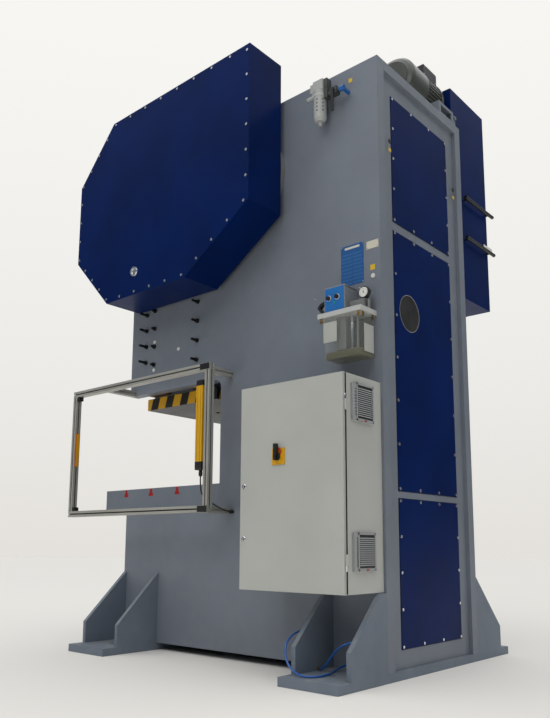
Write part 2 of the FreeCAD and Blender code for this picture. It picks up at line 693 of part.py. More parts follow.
def groove_corners(radius):
    """Return the grooved rim of a belt wheel, from its far side to its near side."""
    corners = []
    for index in range(int(value("belt_count"))):
        middle = f"({BELT_START} + {index} * belt_pitch - {FLYWHEEL_START} + flywheel_width)"
        low, high = f"{middle} - belt_width / 2 - 0.5", f"{middle} + belt_width / 2 + 0.5"
        floor = f"{radius} - belt_height"
        corners += [(low, radius), (low, floor), (high, floor), (high, radius)]
    return corners


def build_flywheel():
    """Build the flywheel with its grooved rim, and the clutch and brake unit beside it."""
    hub, web = "pinion_shaft_radius + hub_wall", "(flywheel_width / 2 - 30)"
    inner_rim = "flywheel_radius - rim_depth"
    bore = "pinion_shaft_radius + running_gap"
    profile = [("0", bore), ("0", hub), (web, hub), (web, inner_rim), ("0", inner_rim),
               ("0", "flywheel_radius")]
    profile += groove_corners("flywheel_radius")
    far = f"(flywheel_width - {web})"
    profile += [("flywheel_width", "flywheel_radius"), ("flywheel_width", inner_rim),
                (far, inner_rim), (far, hub), ("flywheel_width", hub), ("flywheel_width", bore)]
    publish("flywheel", turned("X", profile, (f"{FLYWHEEL_START} - flywheel_width", PINION_Y,
                                              "crank_height")))
    start = f"({FLYWHEEL_START} - flywheel_width - clutch_width - 10)"
    inner = "pinion_shaft_radius"
    unit = [("0", inner), ("0", "150"), ("40", "150"), ("40", "clutch_radius"),
            ("clutch_width", "clutch_radius"), ("clutch_width", inner)]
    publish("clutch_brake", turned("X", unit, (start, PINION_Y, "crank_height")))


def belt_wire(big, small, offset):
    """Return an open belt's loop in the YZ plane, at an offset from the pulley rims."""
    centre_a = vector("0", PINION_Y, "crank_height")
    centre_b = vector("0", "motor_y", "motor_height")
    line = centre_b - centre_a
    direction = math.atan2(line.z, line.y)
    spread = math.acos((big - small) / line.Length)

    def on(centre, radius, angle):
        reach = radius + offset
        return centre + FreeCAD.Vector(0, reach * math.cos(angle), reach * math.sin(angle))

    start_a, end_a, far_a = (on(centre_a, big, direction + turn)
                             for turn in (spread, -spread, math.pi))
    start_b, end_b, far_b = (on(centre_b, small, direction + turn)
                             for turn in (-spread, spread, 0))
    edges = [Part.Arc(start_a, far_a, end_a).toShape(),
             Part.makeLine(end_a, start_b),
             Part.Arc(start_b, far_b, end_b).toShape(),
             Part.makeLine(end_b, start_a)]
    return Part.Wire(edges)


def build_belts():
    """Build the belts, each a loop round the flywheel and the motor pulley."""
    big, small = value("flywheel_radius"), value("pulley_radius")
    inner_offset = value("belt_gap - belt_height")
    loops = [belt_wire(big, small, 0), belt_wire(big, small, inner_offset)]
    face = Part.makeFace(loops, "Part::FaceMakerBullseye")
    loop = face.extrude(FreeCAD.Vector(value("belt_width"), 0, 0))
    belts = []
    for index in range(int(value("belt_count"))):
        belt = doc.addObject("Part::Feature", name_for(None))
        belt.Shape = loop
        place(belt, f"{BELT_START} + {index} * belt_pitch - belt_width / 2", "0", "0")
        belts.append(belt)
    cluster("v_belts", belts)


# --------------------------------------------------------------------------------------------
# Motor
# --------------------------------------------------------------------------------------------

FIN_COUNT = 40
FIN_HEIGHT = 14


def finned_barrel(length):
    """Add the motor's finned barrel as one extruded face."""
    outer = value("motor_radius")
    root = outer - FIN_HEIGHT
    half = math.pi / FIN_COUNT
    points = []
    for fin in range(FIN_COUNT):
        middle = 2 * half * fin
        for radius, share in ((root, -0.45), (outer, -0.22), (outer, 0.22), (root, 0.45)):
            angle = middle + share * half
            points.append(FreeCAD.Vector(0, radius * math.cos(angle), radius * math.sin(angle)))
    barrel = doc.addObject("Part::Feature", name_for(None))
    face = Part.Face(Part.makePolygon(points + points[:1]))
    barrel.Shape = face.extrude(FreeCAD.Vector(value(length), 0, 0))
    return barrel


def build_motor():
    """Build the motor's body with its feet and end shields, cowl and terminal box."""
    axis_at = ("motor_y", "motor_height")
    far_end = "(motor_near - motor_length)"
    barrel = finned_barrel("motor_length - 2 * shield_length")
    place(barrel, f"{far_end} + shield_length", *axis_at)
    shields = [
        rod("X", ("motor_near - shield_length", *axis_at), "motor_radius - 4", "shield_length"),
        rod("X", (far_end, *axis_at), "motor_radius + 4", "shield_length")]
    base_top = "(frame_height + motor_base_height)"
    foot_x = (f"{far_end} + 40", f"{far_end} + 40 + motor_foot_length")
    feet = [box(foot_x, (f"motor_y {sign} 125 - 35", f"motor_y {sign} 125 + 35"),
                (base_top, f"{base_top} + motor_foot_height")) for sign in "+-"]
    saddle = box(foot_x, ("motor_y - 110", "motor_y + 110"), (base_top, "motor_height - 90"))
    socket = rod("X", (f"{far_end} - 5", *axis_at), "motor_shaft_radius + 0.3",
                 "shaft_socket + 5")
    publish("motor_body", cut(joined([barrel] + shields + feet + [saddle]), [socket]))
    inside, lip = "motor_radius + 1", "motor_radius + 5"
    cowl = [("-cowl_lap", inside), ("-cowl_lap", lip), ("cowl_straight", lip),
            ("cowl_length - 18", "motor_radius - 12"), ("cowl_length", "motor_radius - 48"),
            ("cowl_length", "0"), ("cowl_length - 3", "0"),
            ("cowl_length - 3", "motor_radius - 50"), ("cowl_length - 21", "motor_radius - 15"),
            ("cowl_straight - 2", inside)]
    publish("motor_cowl", turned("X", cowl, ("motor_near", *axis_at)))
    lid = box(("motor_near - 365", "motor_near - 175"), ("motor_y + 15", "motor_y + 127"),
              ("motor_height + 110", "motor_height + 209"))
    bore = rod("X", ("motor_near - 370", *axis_at), "motor_radius + 0.3", "200")
    shield_bore = rod("X", (far_end, *axis_at), "motor_radius + 4.3", "shield_length + 0.3")
    publish("terminal_box", cut(lid, [bore, shield_bore]))


def build_motor_base():
    """Build the welded plate and bracket under the motor, and the belt tensioner beside it."""
    floor, top = "frame_height", "(frame_height + motor_base_height)"
    x = ("motor_near - motor_length + 20", "bracket_near")
    bracket_y = (f"{REAR} - 12 - bracket_depth", f"{REAR} - 12")
    plate_y = ("motor_y - 175", f"{bracket_y[0]} + 10")
    bracket_top = f"({floor} + bracket_height)"
    wall = "10"
    plate = cut(box(x, plate_y, (floor, top)),
                [box((f"{x[0]} + {wall}", f"{x[1]} - {wall}"),
                     (f"{plate_y[0]} + {wall}", f"{plate_y[1]} - {wall}"),
                     (f"{floor} - 1", f"{top} - {wall}"))])
    bracket = cut(box(x, bracket_y, (floor, bracket_top)), [
        box((f"{x[0]} + {wall}", f"{x[1]} - {wall}"),
            (f"{bracket_y[0]} + {wall}", f"{bracket_y[1]} - {wall}"),
            (f"{floor} - 1", f"{bracket_top} - {wall}")),
        box((f"{x[0]} + 30", f"{x[1]} - 25"), (f"{bracket_y[1]} - 20", f"{bracket_y[1]} + 1"),
            (f"{floor} + 30", f"{bracket_top} - 22"))])
    bolt_x = f"({x[0]} - 26)"
    block = box((f"{bolt_x} - 20", f"{x[0]}"), (f"{REAR} - 70", f"{REAR} - 20"),
                (floor, f"{floor} + 100"))
    bolt = rod("Y", (bolt_x, f"{REAR} - 150", f"{floor} + 75"), "8", "145")
    nut = hexagon("Y", (bolt_x, f"{REAR} - 20", f"{floor} + 75"), "26", "13")
    publish("motor_base", joined([plate, bracket, block, bolt, nut]))


def build_motor_pulley():
    """Build the motor's shaft and the grooved pulley keyed on it, which turn together."""
    inner = f"({FLYWHEEL_START} - flywheel_width)"
    shaft_end = f"(motor_near - motor_length + shaft_socket - 5) - {inner}"
    profile = [("0", "0"), ("0", "pulley_radius")] + groove_corners("pulley_radius")
    profile += [("flywheel_width", "pulley_radius"), ("flywheel_width", "motor_shaft_radius"),
                (shaft_end, "motor_shaft_radius"), (shaft_end, "0")]
    publish("motor_pulley", turned("X", profile, (inner, "motor_y", "motor_height")))


# --------------------------------------------------------------------------------------------
# Ram
# --------------------------------------------------------------------------------------------

def build_slide():
    """Build the slide with its die flange, ball cavity and shank bore."""
    slide_top = f"({FLANGE_TOP} + slide_height)"
    flange = box(("-flange_width / 2", "flange_width / 2"),
                 (f"{CRANK_Y} - flange_depth / 2", f"{CRANK_Y} + flange_depth / 2"),
                 (SLIDE_BOTTOM, FLANGE_TOP))
    column = box(("-slide_width / 2", "slide_width / 2"),
                 (f"{CRANK_Y} - slide_depth / 2", f"{CRANK_Y} + slide_depth / 2"),
                 (FLANGE_TOP, slide_top))
    cavity = box(("-cavity_width / 2", "cavity_width / 2"),
                 (f"{CRANK_Y} - cavity_depth / 2", f"{CRANK_Y} + cavity_depth / 2"),
                 (f"{SLIDE_BOTTOM} + cavity_floor", f"{slide_top} + 1"))
    shank = rod("Z", ("0", CRANK_Y, f"{SLIDE_BOTTOM} - 1"), "shank_radius", "shank_depth + 1")
    publish("slide", cut(joined([flange, column]), [cavity, shank]))


def build_gibs():
    """Build the four gib bars between the slide and the side plates."""
    bars = []
    low, high = "(slide_width / 2 + gib_gap)", INNER
    height = ("jaw_height + 5", f"{FLANGE_TOP} + slide_height")
    for x in ((low, high), (f"-{high}", f"-{low}")):
        bars.append(box(x, (f"{CRANK_Y} - slide_depth / 2",
                            f"{CRANK_Y} - slide_depth / 2 + gib_length"), height))
        bars.append(box(x, (f"{CRANK_Y} + slide_depth / 2 - gib_length",
                            f"{CRANK_Y} + slide_depth / 2"), height))
    cluster("gibs", bars)


GIB_COLUMNS = (
    # distance from the crank axis, lowest height, spacing, length outside the wall
    (-276, 2152, 128, 72), (-180, 2122, 144, 34), (304, 2082, 147, 58),
)


def build_gib_screws():
    """Build the adjusting screws of the gibs, each with its lock nut."""
    screws = []
    for sign in (1, -1):
        for offset, lowest, spacing, length in GIB_COLUMNS:
            for row in range(4):
                y, z = f"{CRANK_Y} + {offset}", f"{lowest} + {row} * {spacing}"
                reach = f"{length} - 0.3"
                start = WALL if sign > 0 else f"-{WALL} - {reach}"
                nut_start = WALL if sign > 0 else f"-{WALL} - nut_height"
                screws.append(joined([
                    rod("X", (start, y, z), "gib_screw_radius", reach),
                    hexagon("X", (nut_start, y, z), "nut_width", "nut_height")]))
    cluster("gib_screws", screws)


def build_connecting_rod():
    """Build the connecting rod and the ball screw below it."""
    ring = tube("X", ("-rod_width / 2", CRANK_Y, PIN_HEIGHT), "crankpin_radius + rod_wall",
                "crankpin_radius + running_gap", "rod_width")
    bottom = f"({PIN_HEIGHT} - rod_length)"
    shank = box(("-80", "80"), (f"{CRANK_Y} - 90", f"{CRANK_Y} + 90"),
                (bottom, f"{PIN_HEIGHT} - crankpin_radius - 30"))
    thread = rod("Z", ("0", CRANK_Y, f"{bottom} - 1"), "screw_radius", "200")
    publish("connecting_rod", cut(joined([ring, shank]), [thread]))
    ball = f"({SLIDE_BOTTOM} + cavity_floor + ball_radius + 25)"
    sphere = doc.addObject("Part::Sphere", name_for(None))
    sphere.setExpression("Radius", bound("ball_radius"))
    place(sphere, "0", CRANK_Y, ball)
    screw = rod("Z", ("0", CRANK_Y, ball), "screw_radius", f"{bottom} + 190 - {ball}")
    publish("ball_screw", joined([sphere, screw]))


# --------------------------------------------------------------------------------------------
# Electrical cabinet
# --------------------------------------------------------------------------------------------

def build_cabinet():
    """Build the cabinet's folded box with its hinge knuckles, and the door."""
    box_front = f"({DOOR_BACK} - door_gap)"
    y, z = (CABINET_FRONT, CABINET_REAR), ("cabinet_bottom", CABINET_TOP)
    outer = box((CABINET_BACK, box_front), y, z)
    inner = box((f"{CABINET_BACK} + cabinet_wall", f"{box_front} + 1"),
                (f"{y[0]} + cabinet_wall", f"{y[1]} - cabinet_wall"),
                ("cabinet_bottom + cabinet_wall", f"{CABINET_TOP} - cabinet_wall"))
    pieces = [cut(outer, [inner])]
    hinge_x, hinge_y = f"({DOOR_BACK} + 5)", f"({CABINET_REAR} + hinge_offset)"
    for height in ("cabinet_bottom + 150", f"{CABINET_TOP} - 210"):
        pieces.append(rod("Z", (hinge_x, hinge_y, height), "hinge_radius", "60"))
        pieces.append(box((f"{DOOR_BACK} - 25", hinge_x), (CABINET_REAR, f"{CABINET_REAR} + 3"),
                          (height, f"{height} + 60")))
    spacer = [box((WALL, CABINET_BACK), (f"{y[0]} + 40", f"{y[1]} - 40"),
                  (low, f"{low} + 40")) for low in ("cabinet_bottom + 60",
                                                    f"{CABINET_TOP} - 100")]
    publish("cabinet_box", joined(pieces + spacer))
    pan = box((DOOR_BACK, CABINET_FACE), y, z)
    hollow = box((f"{DOOR_BACK} - 1", f"{CABINET_FACE} - cabinet_wall"),
                 (f"{y[0]} + door_rim", f"{y[1]} - door_rim"),
                 ("cabinet_bottom + door_rim", f"{CABINET_TOP} - door_rim"))
    publish("cabinet_door", cut(pan, [hollow]))


def build_door_fittings():
    """Build the two quarter-turn locks, the main switch and the filter grilles."""
    lock_y = f"({CABINET_FRONT} + lock_inset)"
    for label, height in (("lock_lower", "lower_lock_height"),
                          ("lock_upper", "upper_lock_height")):
        head = [("0", "0"), ("0", "lock_radius + 4"), ("3", "lock_radius + 4"),
                ("7", "lock_radius"), ("7", "8"), ("3.5", "8"), ("3.5", "0")]
        publish(label, turned("X", head, (CABINET_FACE, lock_y, height)))
    switch_y = f"({CABINET_FRONT} + switch_inset)"
    switch_z = "switch_height"
    half = "switch_plate_size / 2"
    plate = box((CABINET_FACE, f"{CABINET_FACE} + 4"),
                (f"{switch_y} - {half}", f"{switch_y} + {half}"),
                (f"{switch_z} - {half}", f"{switch_z} + {half}"))
    boss = rod("X", (CABINET_FACE, switch_y, switch_z), "32", "12")
    publish("switch_plate", joined([plate, boss]))
    hub = rod("X", (f"{CABINET_FACE} + 12", switch_y, switch_z), "24", "14")
    lever = box((f"{CABINET_FACE} + 16", f"{CABINET_FACE} + 40"),
                (f"{switch_y} - 10", f"{switch_y} + 10"), (f"{switch_z} - 24", f"{switch_z} + 72"))
    publish("switch_handle", joined([hub, lever]))
    grilles = []
    middle = f"({CABINET_BACK} + 200)"
    for low in ("cabinet_bottom + 120", "cabinet_bottom + 938"):
        frame = box((f"{middle} - grille_size / 2", f"{middle} + grille_size / 2"),
                    (CABINET_REAR, f"{CABINET_REAR} + grille_depth"), (low, f"{low} + grille_size"))
        slots = []
        for row in range(9):
            slot_low = f"{low} + 26 + {row} * 18"
            slots.append(box((f"{middle} - grille_size / 2 + 22",
                              f"{middle} + grille_size / 2 - 22"),
                             (f"{CABINET_REAR} + 5", f"{CABINET_REAR} + grille_depth + 1"),
                             (slot_low, f"{slot_low} + 9")))
        grilles.append(cut(frame, slots))
    cluster("filter_grilles", grilles)


def build_control_gear():
    """Build the mounting plate in the cabinet with its rows of switchgear."""
    plate_x = f"({CABINET_BACK} + cabinet_wall + 20)"
    y = (f"{CABINET_FRONT} + 40", f"{CABINET_REAR} - 40")
    plate = box((plate_x, f"{plate_x} + 3"), y, ("cabinet_bottom + 50", f"{CABINET_TOP} - 50"))
    feet = [box((f"{CABINET_BACK} + cabinet_wall", plate_x), (f"{y[0]} + 20", f"{y[0]} + 40"),
                ("cabinet_bottom + 90", f"{CABINET_TOP} - 90")),
            box((f"{CABINET_BACK} + cabinet_wall", plate_x), (f"{y[1]} - 40", f"{y[1]} - 20"),
                ("cabinet_bottom + 90", f"{CABINET_TOP} - 90"))]
    devices = []
    for row, (height, width, deep, count) in enumerate((
            (150, 130, 150, 4), (110, 45, 95, 9), (110, 60, 110, 7), (170, 180, 165, 2))):
        low = f"(cabinet_bottom + 110 + {row} * 250)"
        for column in range(count):
            start = f"({y[0]} + 60 + {column} * ({width} + 12))"
            devices.append(box((f"{plate_x} + 3", f"{plate_x} + 3 + {deep}"),
                               (start, f"{start} + {width}"), (low, f"{low} + {height}")))
    cluster("control_gear", [joined([plate] + feet)] + devices)


# --------------------------------------------------------------------------------------------
# Lubricator and compressed-air unit
# --------------------------------------------------------------------------------------------

def build_lubricator():
    """Build the oil tank, its lid, the pump block, the timer box and the gauge."""
    y = ("tank_y - tank_width / 2", "tank_y + tank_width / 2")
    outer = box((TANK_BACK, TANK_FACE), y, ("tank_bottom", TANK_TOP))
    inner = box((f"{TANK_BACK} + tank_wall", f"{TANK_FACE} - tank_wall"),
                (f"{y[0]} + tank_wall", f"{y[1]} - tank_wall"),
                ("tank_bottom + tank_wall", f"{TANK_TOP} + 1"))
    publish("oil_tank", cut(outer, [inner]))
    lid = box((WALL, f"{TANK_FACE} + lid_overhang"),
              (f"{y[0]} - 45", f"{y[1]} + lid_overhang"), (TANK_TOP, LID_TOP))
    timer_y = (f"({y[0]} - timer_overhang)", f"({y[0]} - timer_overhang + timer_width)")
    timer_x = (f"{WALL} + 8", f"{WALL} + 8 + timer_depth")
    strap = [("0", 101), ("-50", 84), ("-70", 60), ("-24", 0), ("-4", 0), ("-50", 58),
             ("-40", 68), ("0", 82)]
    handle = prism("YZ_Plane", [[(f"{timer_y[0]} + {along}", f"{LID_TOP} + {up}")
                                 for along, up in strap]],
                   (f"{timer_x[1]} - 45", f"{timer_x[1]} - 20"))
    publish("tank_lid", joined([lid, handle]))
    publish("timer_box", box(timer_x, timer_y, (LID_TOP, f"{LID_TOP} + timer_height")))
    for label, inset in (("timer_knob_left", "left_knob_inset"),
                         ("timer_knob_right", "right_knob_inset")):
        knob = [("0", "0"), ("0", "knob_radius"), ("11", "knob_radius"),
                ("16", "knob_radius - 3"), ("16", "0")]
        publish(label, turned("X", knob, (timer_x[1], f"{timer_y[0]} + {inset}",
                                          f"{LID_TOP} + knob_height")))
    sump = [box((f"{WALL} + 40", f"{WALL} + 120"), (f"{y[0]} + 60", f"{y[0]} + 130"),
                ("tank_bottom + 60", TANK_TOP)),
            box((f"{WALL} + 40", f"{WALL} + 100"), (f"{y[0]} + 128", f"{y[0]} + 205"),
                (f"{TANK_TOP} - 12", TANK_TOP)),
            rod("Z", (f"{WALL} + 80", f"{y[1]} - 69", "tank_bottom + 25"), "8",
                "tank_height - 25"),
            rod("Z", (f"{WALL} + 80", f"{y[1]} - 69", "tank_bottom + 12"), "22", "40")]
    gauge_at = (f"{WALL} + 58", "tank_y + gauge_offset", f"{LID_TOP} + gauge_height")
    block = box((f"{WALL} + 20", f"{WALL} + 95"), (f"{timer_y[1]} + 4", f"{gauge_at[1]} + 8"),
                (LID_TOP, f"{LID_TOP} + 62"))
    stem = rod("Z", (f"{gauge_at[0]} + 8", gauge_at[1], f"{LID_TOP} + 60"), "9",
               "gauge_height - gauge_radius - 60")
    riser = rod("Z", (f"{WALL} + 60", "tank_y + gauge_offset + 22", LID_TOP), "9", "60")
    cluster("pump_unit", [joined(sump), joined([block, stem, riser])])
    dial = [("0", "0"), ("0", "gauge_radius"), ("26", "gauge_radius"), ("26", "gauge_radius - 3"),
            ("23", "gauge_radius - 3"), ("23", "0")]
    publish("pressure_gauge", turned("X", dial, gauge_at))


def build_air_unit():
    """Build the filter regulator on the wall and the lever of its shut-off valve."""
    at_y, top = "filter_y", "filter_height"
    bracket = box((WALL, f"{FILTER_X} - 30"), (f"{at_y} - 60", f"{at_y} - 20"),
                  (f"{top} - 60", f"{top} + 60"))
    bracket_arm = box((f"{FILTER_X} - 32", f"{FILTER_X} + 20"), (f"{at_y} - 62", f"{at_y} - 30"),
                      (f"{top} - 20", f"{top} + 40"))
    head = box((f"{FILTER_X} - 30", f"{FILTER_X} + 30"), (f"{at_y} - 32", f"{at_y} + 45"),
               (f"{top} - 25", f"{top} + 45"))
    drain = rod("Y", (f"{FILTER_X} + 12", f"{at_y} - 88", f"{top} - 52"), "13", "60")
    drain_stem = box((f"{FILTER_X} - 20", f"{FILTER_X} + 20"), (f"{at_y} - 45", f"{at_y} - 31"),
                     (f"{top} - 66", f"{top} - 20"))
    flow_z = f"({top} - valve_drop)"
    block = box((f"{FILTER_X} - 26", f"{FILTER_X} + 22"), (f"{at_y} + 45", f"{at_y} + 76"),
                (f"{top} - 25", f"{top} + 40"))
    drop = box((f"{FILTER_X} - 20", f"{FILTER_X} + 20"), (f"{at_y} + 50", f"{at_y} + 76"),
               (f"{flow_z} - 24", f"{top} - 20"))
    pipe = rod("Y", (FILTER_X, f"{at_y} + 70", flow_z), "14", "92")
    valve_y = f"({at_y} + valve_offset)"
    valve = box((f"{FILTER_X} - 22", f"{FILTER_X} + 22"), (f"{valve_y} - 25", f"{valve_y} + 25"),
                (f"{flow_z} - 24", f"{flow_z} + 24"))
    outlet = rod("Y", (FILTER_X, f"{at_y} + 160", flow_z), "17", "38")
    elbow = rod("X", (WALL, f"{at_y} + 182", flow_z), "12", "filter_offset")
    bowl = turned("Z", [("-25", "0"), ("-25", "bowl_radius"), ("-215", "bowl_radius"),
                        ("-238", "bowl_radius - 14"), ("-238", "12"), ("-262", "12"),
                        ("-262", "0")], (FILTER_X, f"{at_y} + 4", top))
    bowl_space = rod("Z", (FILTER_X, f"{at_y} + 4", f"{top} - 240"), "bowl_radius + 0.3", "215")
    body = cut(joined([bracket, bracket_arm, head, drain, drain_stem, block, drop, pipe, valve,
                       outlet, elbow]), [bowl_space])
    cluster("air_filter", [body, bowl])
    lever_x = f"({FILTER_X} + 22)"
    pivot = rod("X", (lever_x, valve_y, flow_z), "11", "14")
    lever = box((f"{lever_x} + 8", f"{lever_x} + 14"), (f"{valve_y} - 10", f"{valve_y} + 10"),
                (f"{flow_z} - 150", f"{flow_z} + 12"))
    publish("valve_handle", joined([pivot, lever]))


# --------------------------------------------------------------------------------------------
# Side guard and light curtain
# --------------------------------------------------------------------------------------------

def slotted_section(u, v):
    """Return the corners of a slotted aluminium profile's section, centred at (u, v)."""
    half, slot = "profile_size / 2", "profile_slot / 2"
    inner = f"({half} - profile_slot_depth)"
    corners = []
    for sign_u, sign_v, along_u in ((1, -1, False), (1, 1, True), (-1, 1, False), (-1, -1, True)):
        if along_u:
            steps = ((slot, half), (slot, inner), (f"-{slot}", inner), (f"-{slot}", half))
        else:
            steps = ((half, slot), (inner, slot), (inner, f"-{slot}"), (half, f"-{slot}"))
        corners.append((f"{sign_u} * {half}", f"{sign_v} * {half}"))
        corners += [(f"{sign_u} * ({a})", f"{sign_v} * ({b})") for a, b in steps]
    return [(f"({u}) + ({a})", f"({v}) + ({b})") for a, b in corners]


def profile_bar(axis, u, v, span):
    """Add a length of slotted profile along an axis."""
    role = {"X": "YZ_Plane", "Y": "XZ_Plane", "Z": "XY_Plane"}[axis]
    return prism(role, [slotted_section(u, v)], span)


def build_guard():
    """Build the guard: two long rails, two posts and the arms that carry them."""
    half = "profile_size / 2"
    x = f"({GUARD_X} + {half})"
    top, bottom = f"guard_top - {half}", f"guard_bottom + {half}"
    front_post, rear_post = f"guard_front + {half}", f"guard_rear - {half}"
    bars = [
        profile_bar("Y", x, top, ("guard_front", "guard_rear - profile_size")),
        profile_bar("Y", x, bottom, ("guard_front", "guard_rear - profile_size")),
        profile_bar("Z", x, front_post, ("guard_bottom + profile_size",
                                         "guard_top - profile_size")),
        profile_bar("Z", x, rear_post, ("guard_bottom", "guard_top"))]
    for y, z in (("guard_rear - 85", top), (f"{FRONT} + 45", top), ("guard_rear - 85", bottom)):
        bars.append(profile_bar("X", y, z, (WALL, GUARD_X)))
    cluster("guard_frame", bars)
    connectors = []
    for y, z in (("guard_front + profile_size + 15", "guard_top - profile_size - 15"),
                 ("guard_front + profile_size + 15", "guard_bottom + profile_size + 15")):
        connectors.append(box((f"{GUARD_X} + 4", f"{GUARD_X} + profile_size - 4"),
                              (f"{y} - 15", f"{y} + 15"), (f"{z} - 15", f"{z} + 15")))
    for z in (top, bottom):
        connectors.append(box((f"{GUARD_X} + profile_size", f"{GUARD_X} + profile_size + 4"),
                              ("guard_rear - 90", "guard_rear - 4"), (f"{z} - 20", f"{z} + 20")))
    cluster("guard_brackets", connectors)


def build_light_curtain():
    """Build the light curtain's housing, its end caps and plug, and the reflector."""
    rear_post_face = "(guard_rear - profile_size)"
    x = (f"{GUARD_X} + profile_size / 2 - curtain_size / 2",
         f"{GUARD_X} + profile_size / 2 + curtain_size / 2")
    y = (f"{rear_post_face} - 75", f"{rear_post_face} - 15")
    top = "(curtain_bottom + curtain_length)"
    housing = box(x, y, ("curtain_bottom", top))
    caps = [box(x, y, (top, f"{top} + 40")),
            box(x, y, ("curtain_bottom - 55", "curtain_bottom"))]
    brackets = [box((f"{x[0]} + 12", f"{x[1]} - 12"), (y[1], rear_post_face),
                    (low, f"{low} + 34")) for low in ("curtain_bottom - 50", f"{top} + 3")]
    plug_x = f"({GUARD_X} + profile_size / 2)"
    plug = rod("Z", (plug_x, f"{y[0]} + 30", "curtain_bottom - 95"), "11", "40")
    reflector = box((f"{GUARD_X} + 10", f"{GUARD_X} + 35"),
                    ("guard_front + profile_size", "guard_front + profile_size + 9"),
                    ("curtain_bottom + 60", "curtain_bottom + 320"))
    cluster("light_curtain", [housing] + caps + brackets + [plug, reflector])


# --------------------------------------------------------------------------------------------
# Free cords: straight runs joined by tangent arcs
# --------------------------------------------------------------------------------------------

CORNER_SHARE = 0.45


def cord_path(label, points):
    """Return the wire of a cord's route, with an arc inside each inner point."""
    edges = []
    radii = []
    start = points[0]
    for before, corner, after in zip(points, points[1:], points[2:]):
        to_before, to_after = before - corner, after - corner
        trim = CORNER_SHARE * min(to_before.Length, to_after.Length)
        turn = math.pi - to_before.getAngle(to_after)
        radius = trim / math.tan(turn / 2)
        radii.append(round(radius))
        to_before.normalize()
        to_after.normalize()
        arc_start, arc_end = corner + to_before * trim, corner + to_after * trim
        bisector = to_before + to_after
        bisector.normalize()
        depth = radius / math.cos(turn / 2) - radius
        edges.append(Part.makeLine(start, arc_start))
        edges.append(Part.Arc(arc_start, corner + bisector * depth, arc_end).toShape())
        start = arc_end
    edges.append(Part.makeLine(start, points[-1]))
    print(label, "bend radii", radii)
    return Part.Wire(edges)


def cord(label, points, diameter):
    """Publish a cord's tube along its route and report its volume against its length."""
    route = [FreeCAD.Vector(*point) for point in points]
    path = cord_path(label, route)
    section = Part.Wire(Part.makeCircle(value(diameter) / 2, route[0], route[1] - route[0]))
    tube_shape = path.makePipeShell([section], True, True)
    expected = math.pi * value(diameter) ** 2 / 4 * path.Length
    share = round(tube_shape.Volume / expected, 4)
    print(label, "length", round(path.Length), "volume share", share)
    feature = doc.addObject("Part::Feature", label)
    feature.Shape = tube_shape
    return publish(label, feature)


HOSE_ROUTE = (
    (600, 705, 262), (740, 712, 268), (850, 722, 240), (912, 738, 185), (930, 766, 118),
    (948, 830, 72), (955, 910, 57), (900, 962, 56.5), (800, 958, 56.5), (690, 915, 57),
    (600, 915, 75), (574, 985, 120), (590, 1060, 170), (650, 1105, 220), (735, 1098, 236),
    (765, 1030, 215), (752, 960, 168), (735, 905, 110), (722, 862, 70), (706, 822, 57),
)

CABLE_ROUTE = (
    (814.5, -70, 1190), (814.5, -70, 1120), (806, -64, 1070), (778, -46, 1035),
    (735, -27, 1010), (690, -22, 990), (640, -24, 975), (574, -28, 966),
)


def build_cords():
    """Build the air hose and the curtain's cable, with the fittings that hold them."""
    cord("air_hose", HOSE_ROUTE, "hose_diameter")
    cord("curtain_cable", CABLE_ROUTE, "cable_diameter")
    hose_x, hose_y, hose_z = HOSE_ROUTE[0]
    cable_x, cable_y, cable_z = CABLE_ROUTE[-1]
    cluster("cord_fittings", [
        rod("X", (WALL, hose_y, hose_z), "hose_diameter", f"{hose_x} - {WALL}"),
        rod("X", (WALL, cable_y, cable_z), "cable_diameter + 3", f"{cable_x} - {WALL}")])


# --------------------------------------------------------------------------------------------
# Document
# --------------------------------------------------------------------------------------------

def check_document():
    """Stop if any object failed, or any sub-part has no valid shape."""
    for item in doc.Objects:
        if "Invalid" in item.State or "Error" in item.State:
            raise RuntimeError(f"{item.Name} failed: {item.State}")
    for item in sub_parts:
        if item.Shape.isNull() or not item.Shape.isValid():
            raise RuntimeError(f"{item.Label} has no valid shape")


def export_parts():
    """Write each sub-part's solids to its own file."""
    os.makedirs("parts", exist_ok=True)
    for item in sub_parts:
        item.Shape.exportStep(os.path.join("parts", item.Label + ".step"))
    print("sub-parts:", len(sub_parts))


def main():
    """Build every sub-part, check the document and write the files."""
    fill_sheet()
    build_walls()
    build_rear_wall()
    build_feet()
    build_bolster()
    build_rear_covers()
    build_cover_screws()
    build_gear_cover()
    build_flywheel_cover()
    build_gears()
    build_crankshaft()
    build_bearing_housings()
    build_flywheel()
    build_belts()
    build_motor()
    build_motor_base()
    build_motor_pulley()
    build_slide()
    build_gibs()
    build_gib_screws()
    build_connecting_rod()
    build_cabinet()
    build_door_fittings()
    build_control_gear()
    build_lubricator()
    build_air_unit()
    build_guard()
    build_light_curtain()
    build_cords()
    doc.recompute()
    check_document()
    export_parts()


main()
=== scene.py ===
"""Looks of a C-frame stamping press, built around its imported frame: studio, cords, finishes and fine parts."""

import logging
import math
from dataclasses import dataclass
from enum import Enum
from typing import Iterable, Sequence

import bmesh
import bpy
from mathutils import Matrix, Vector


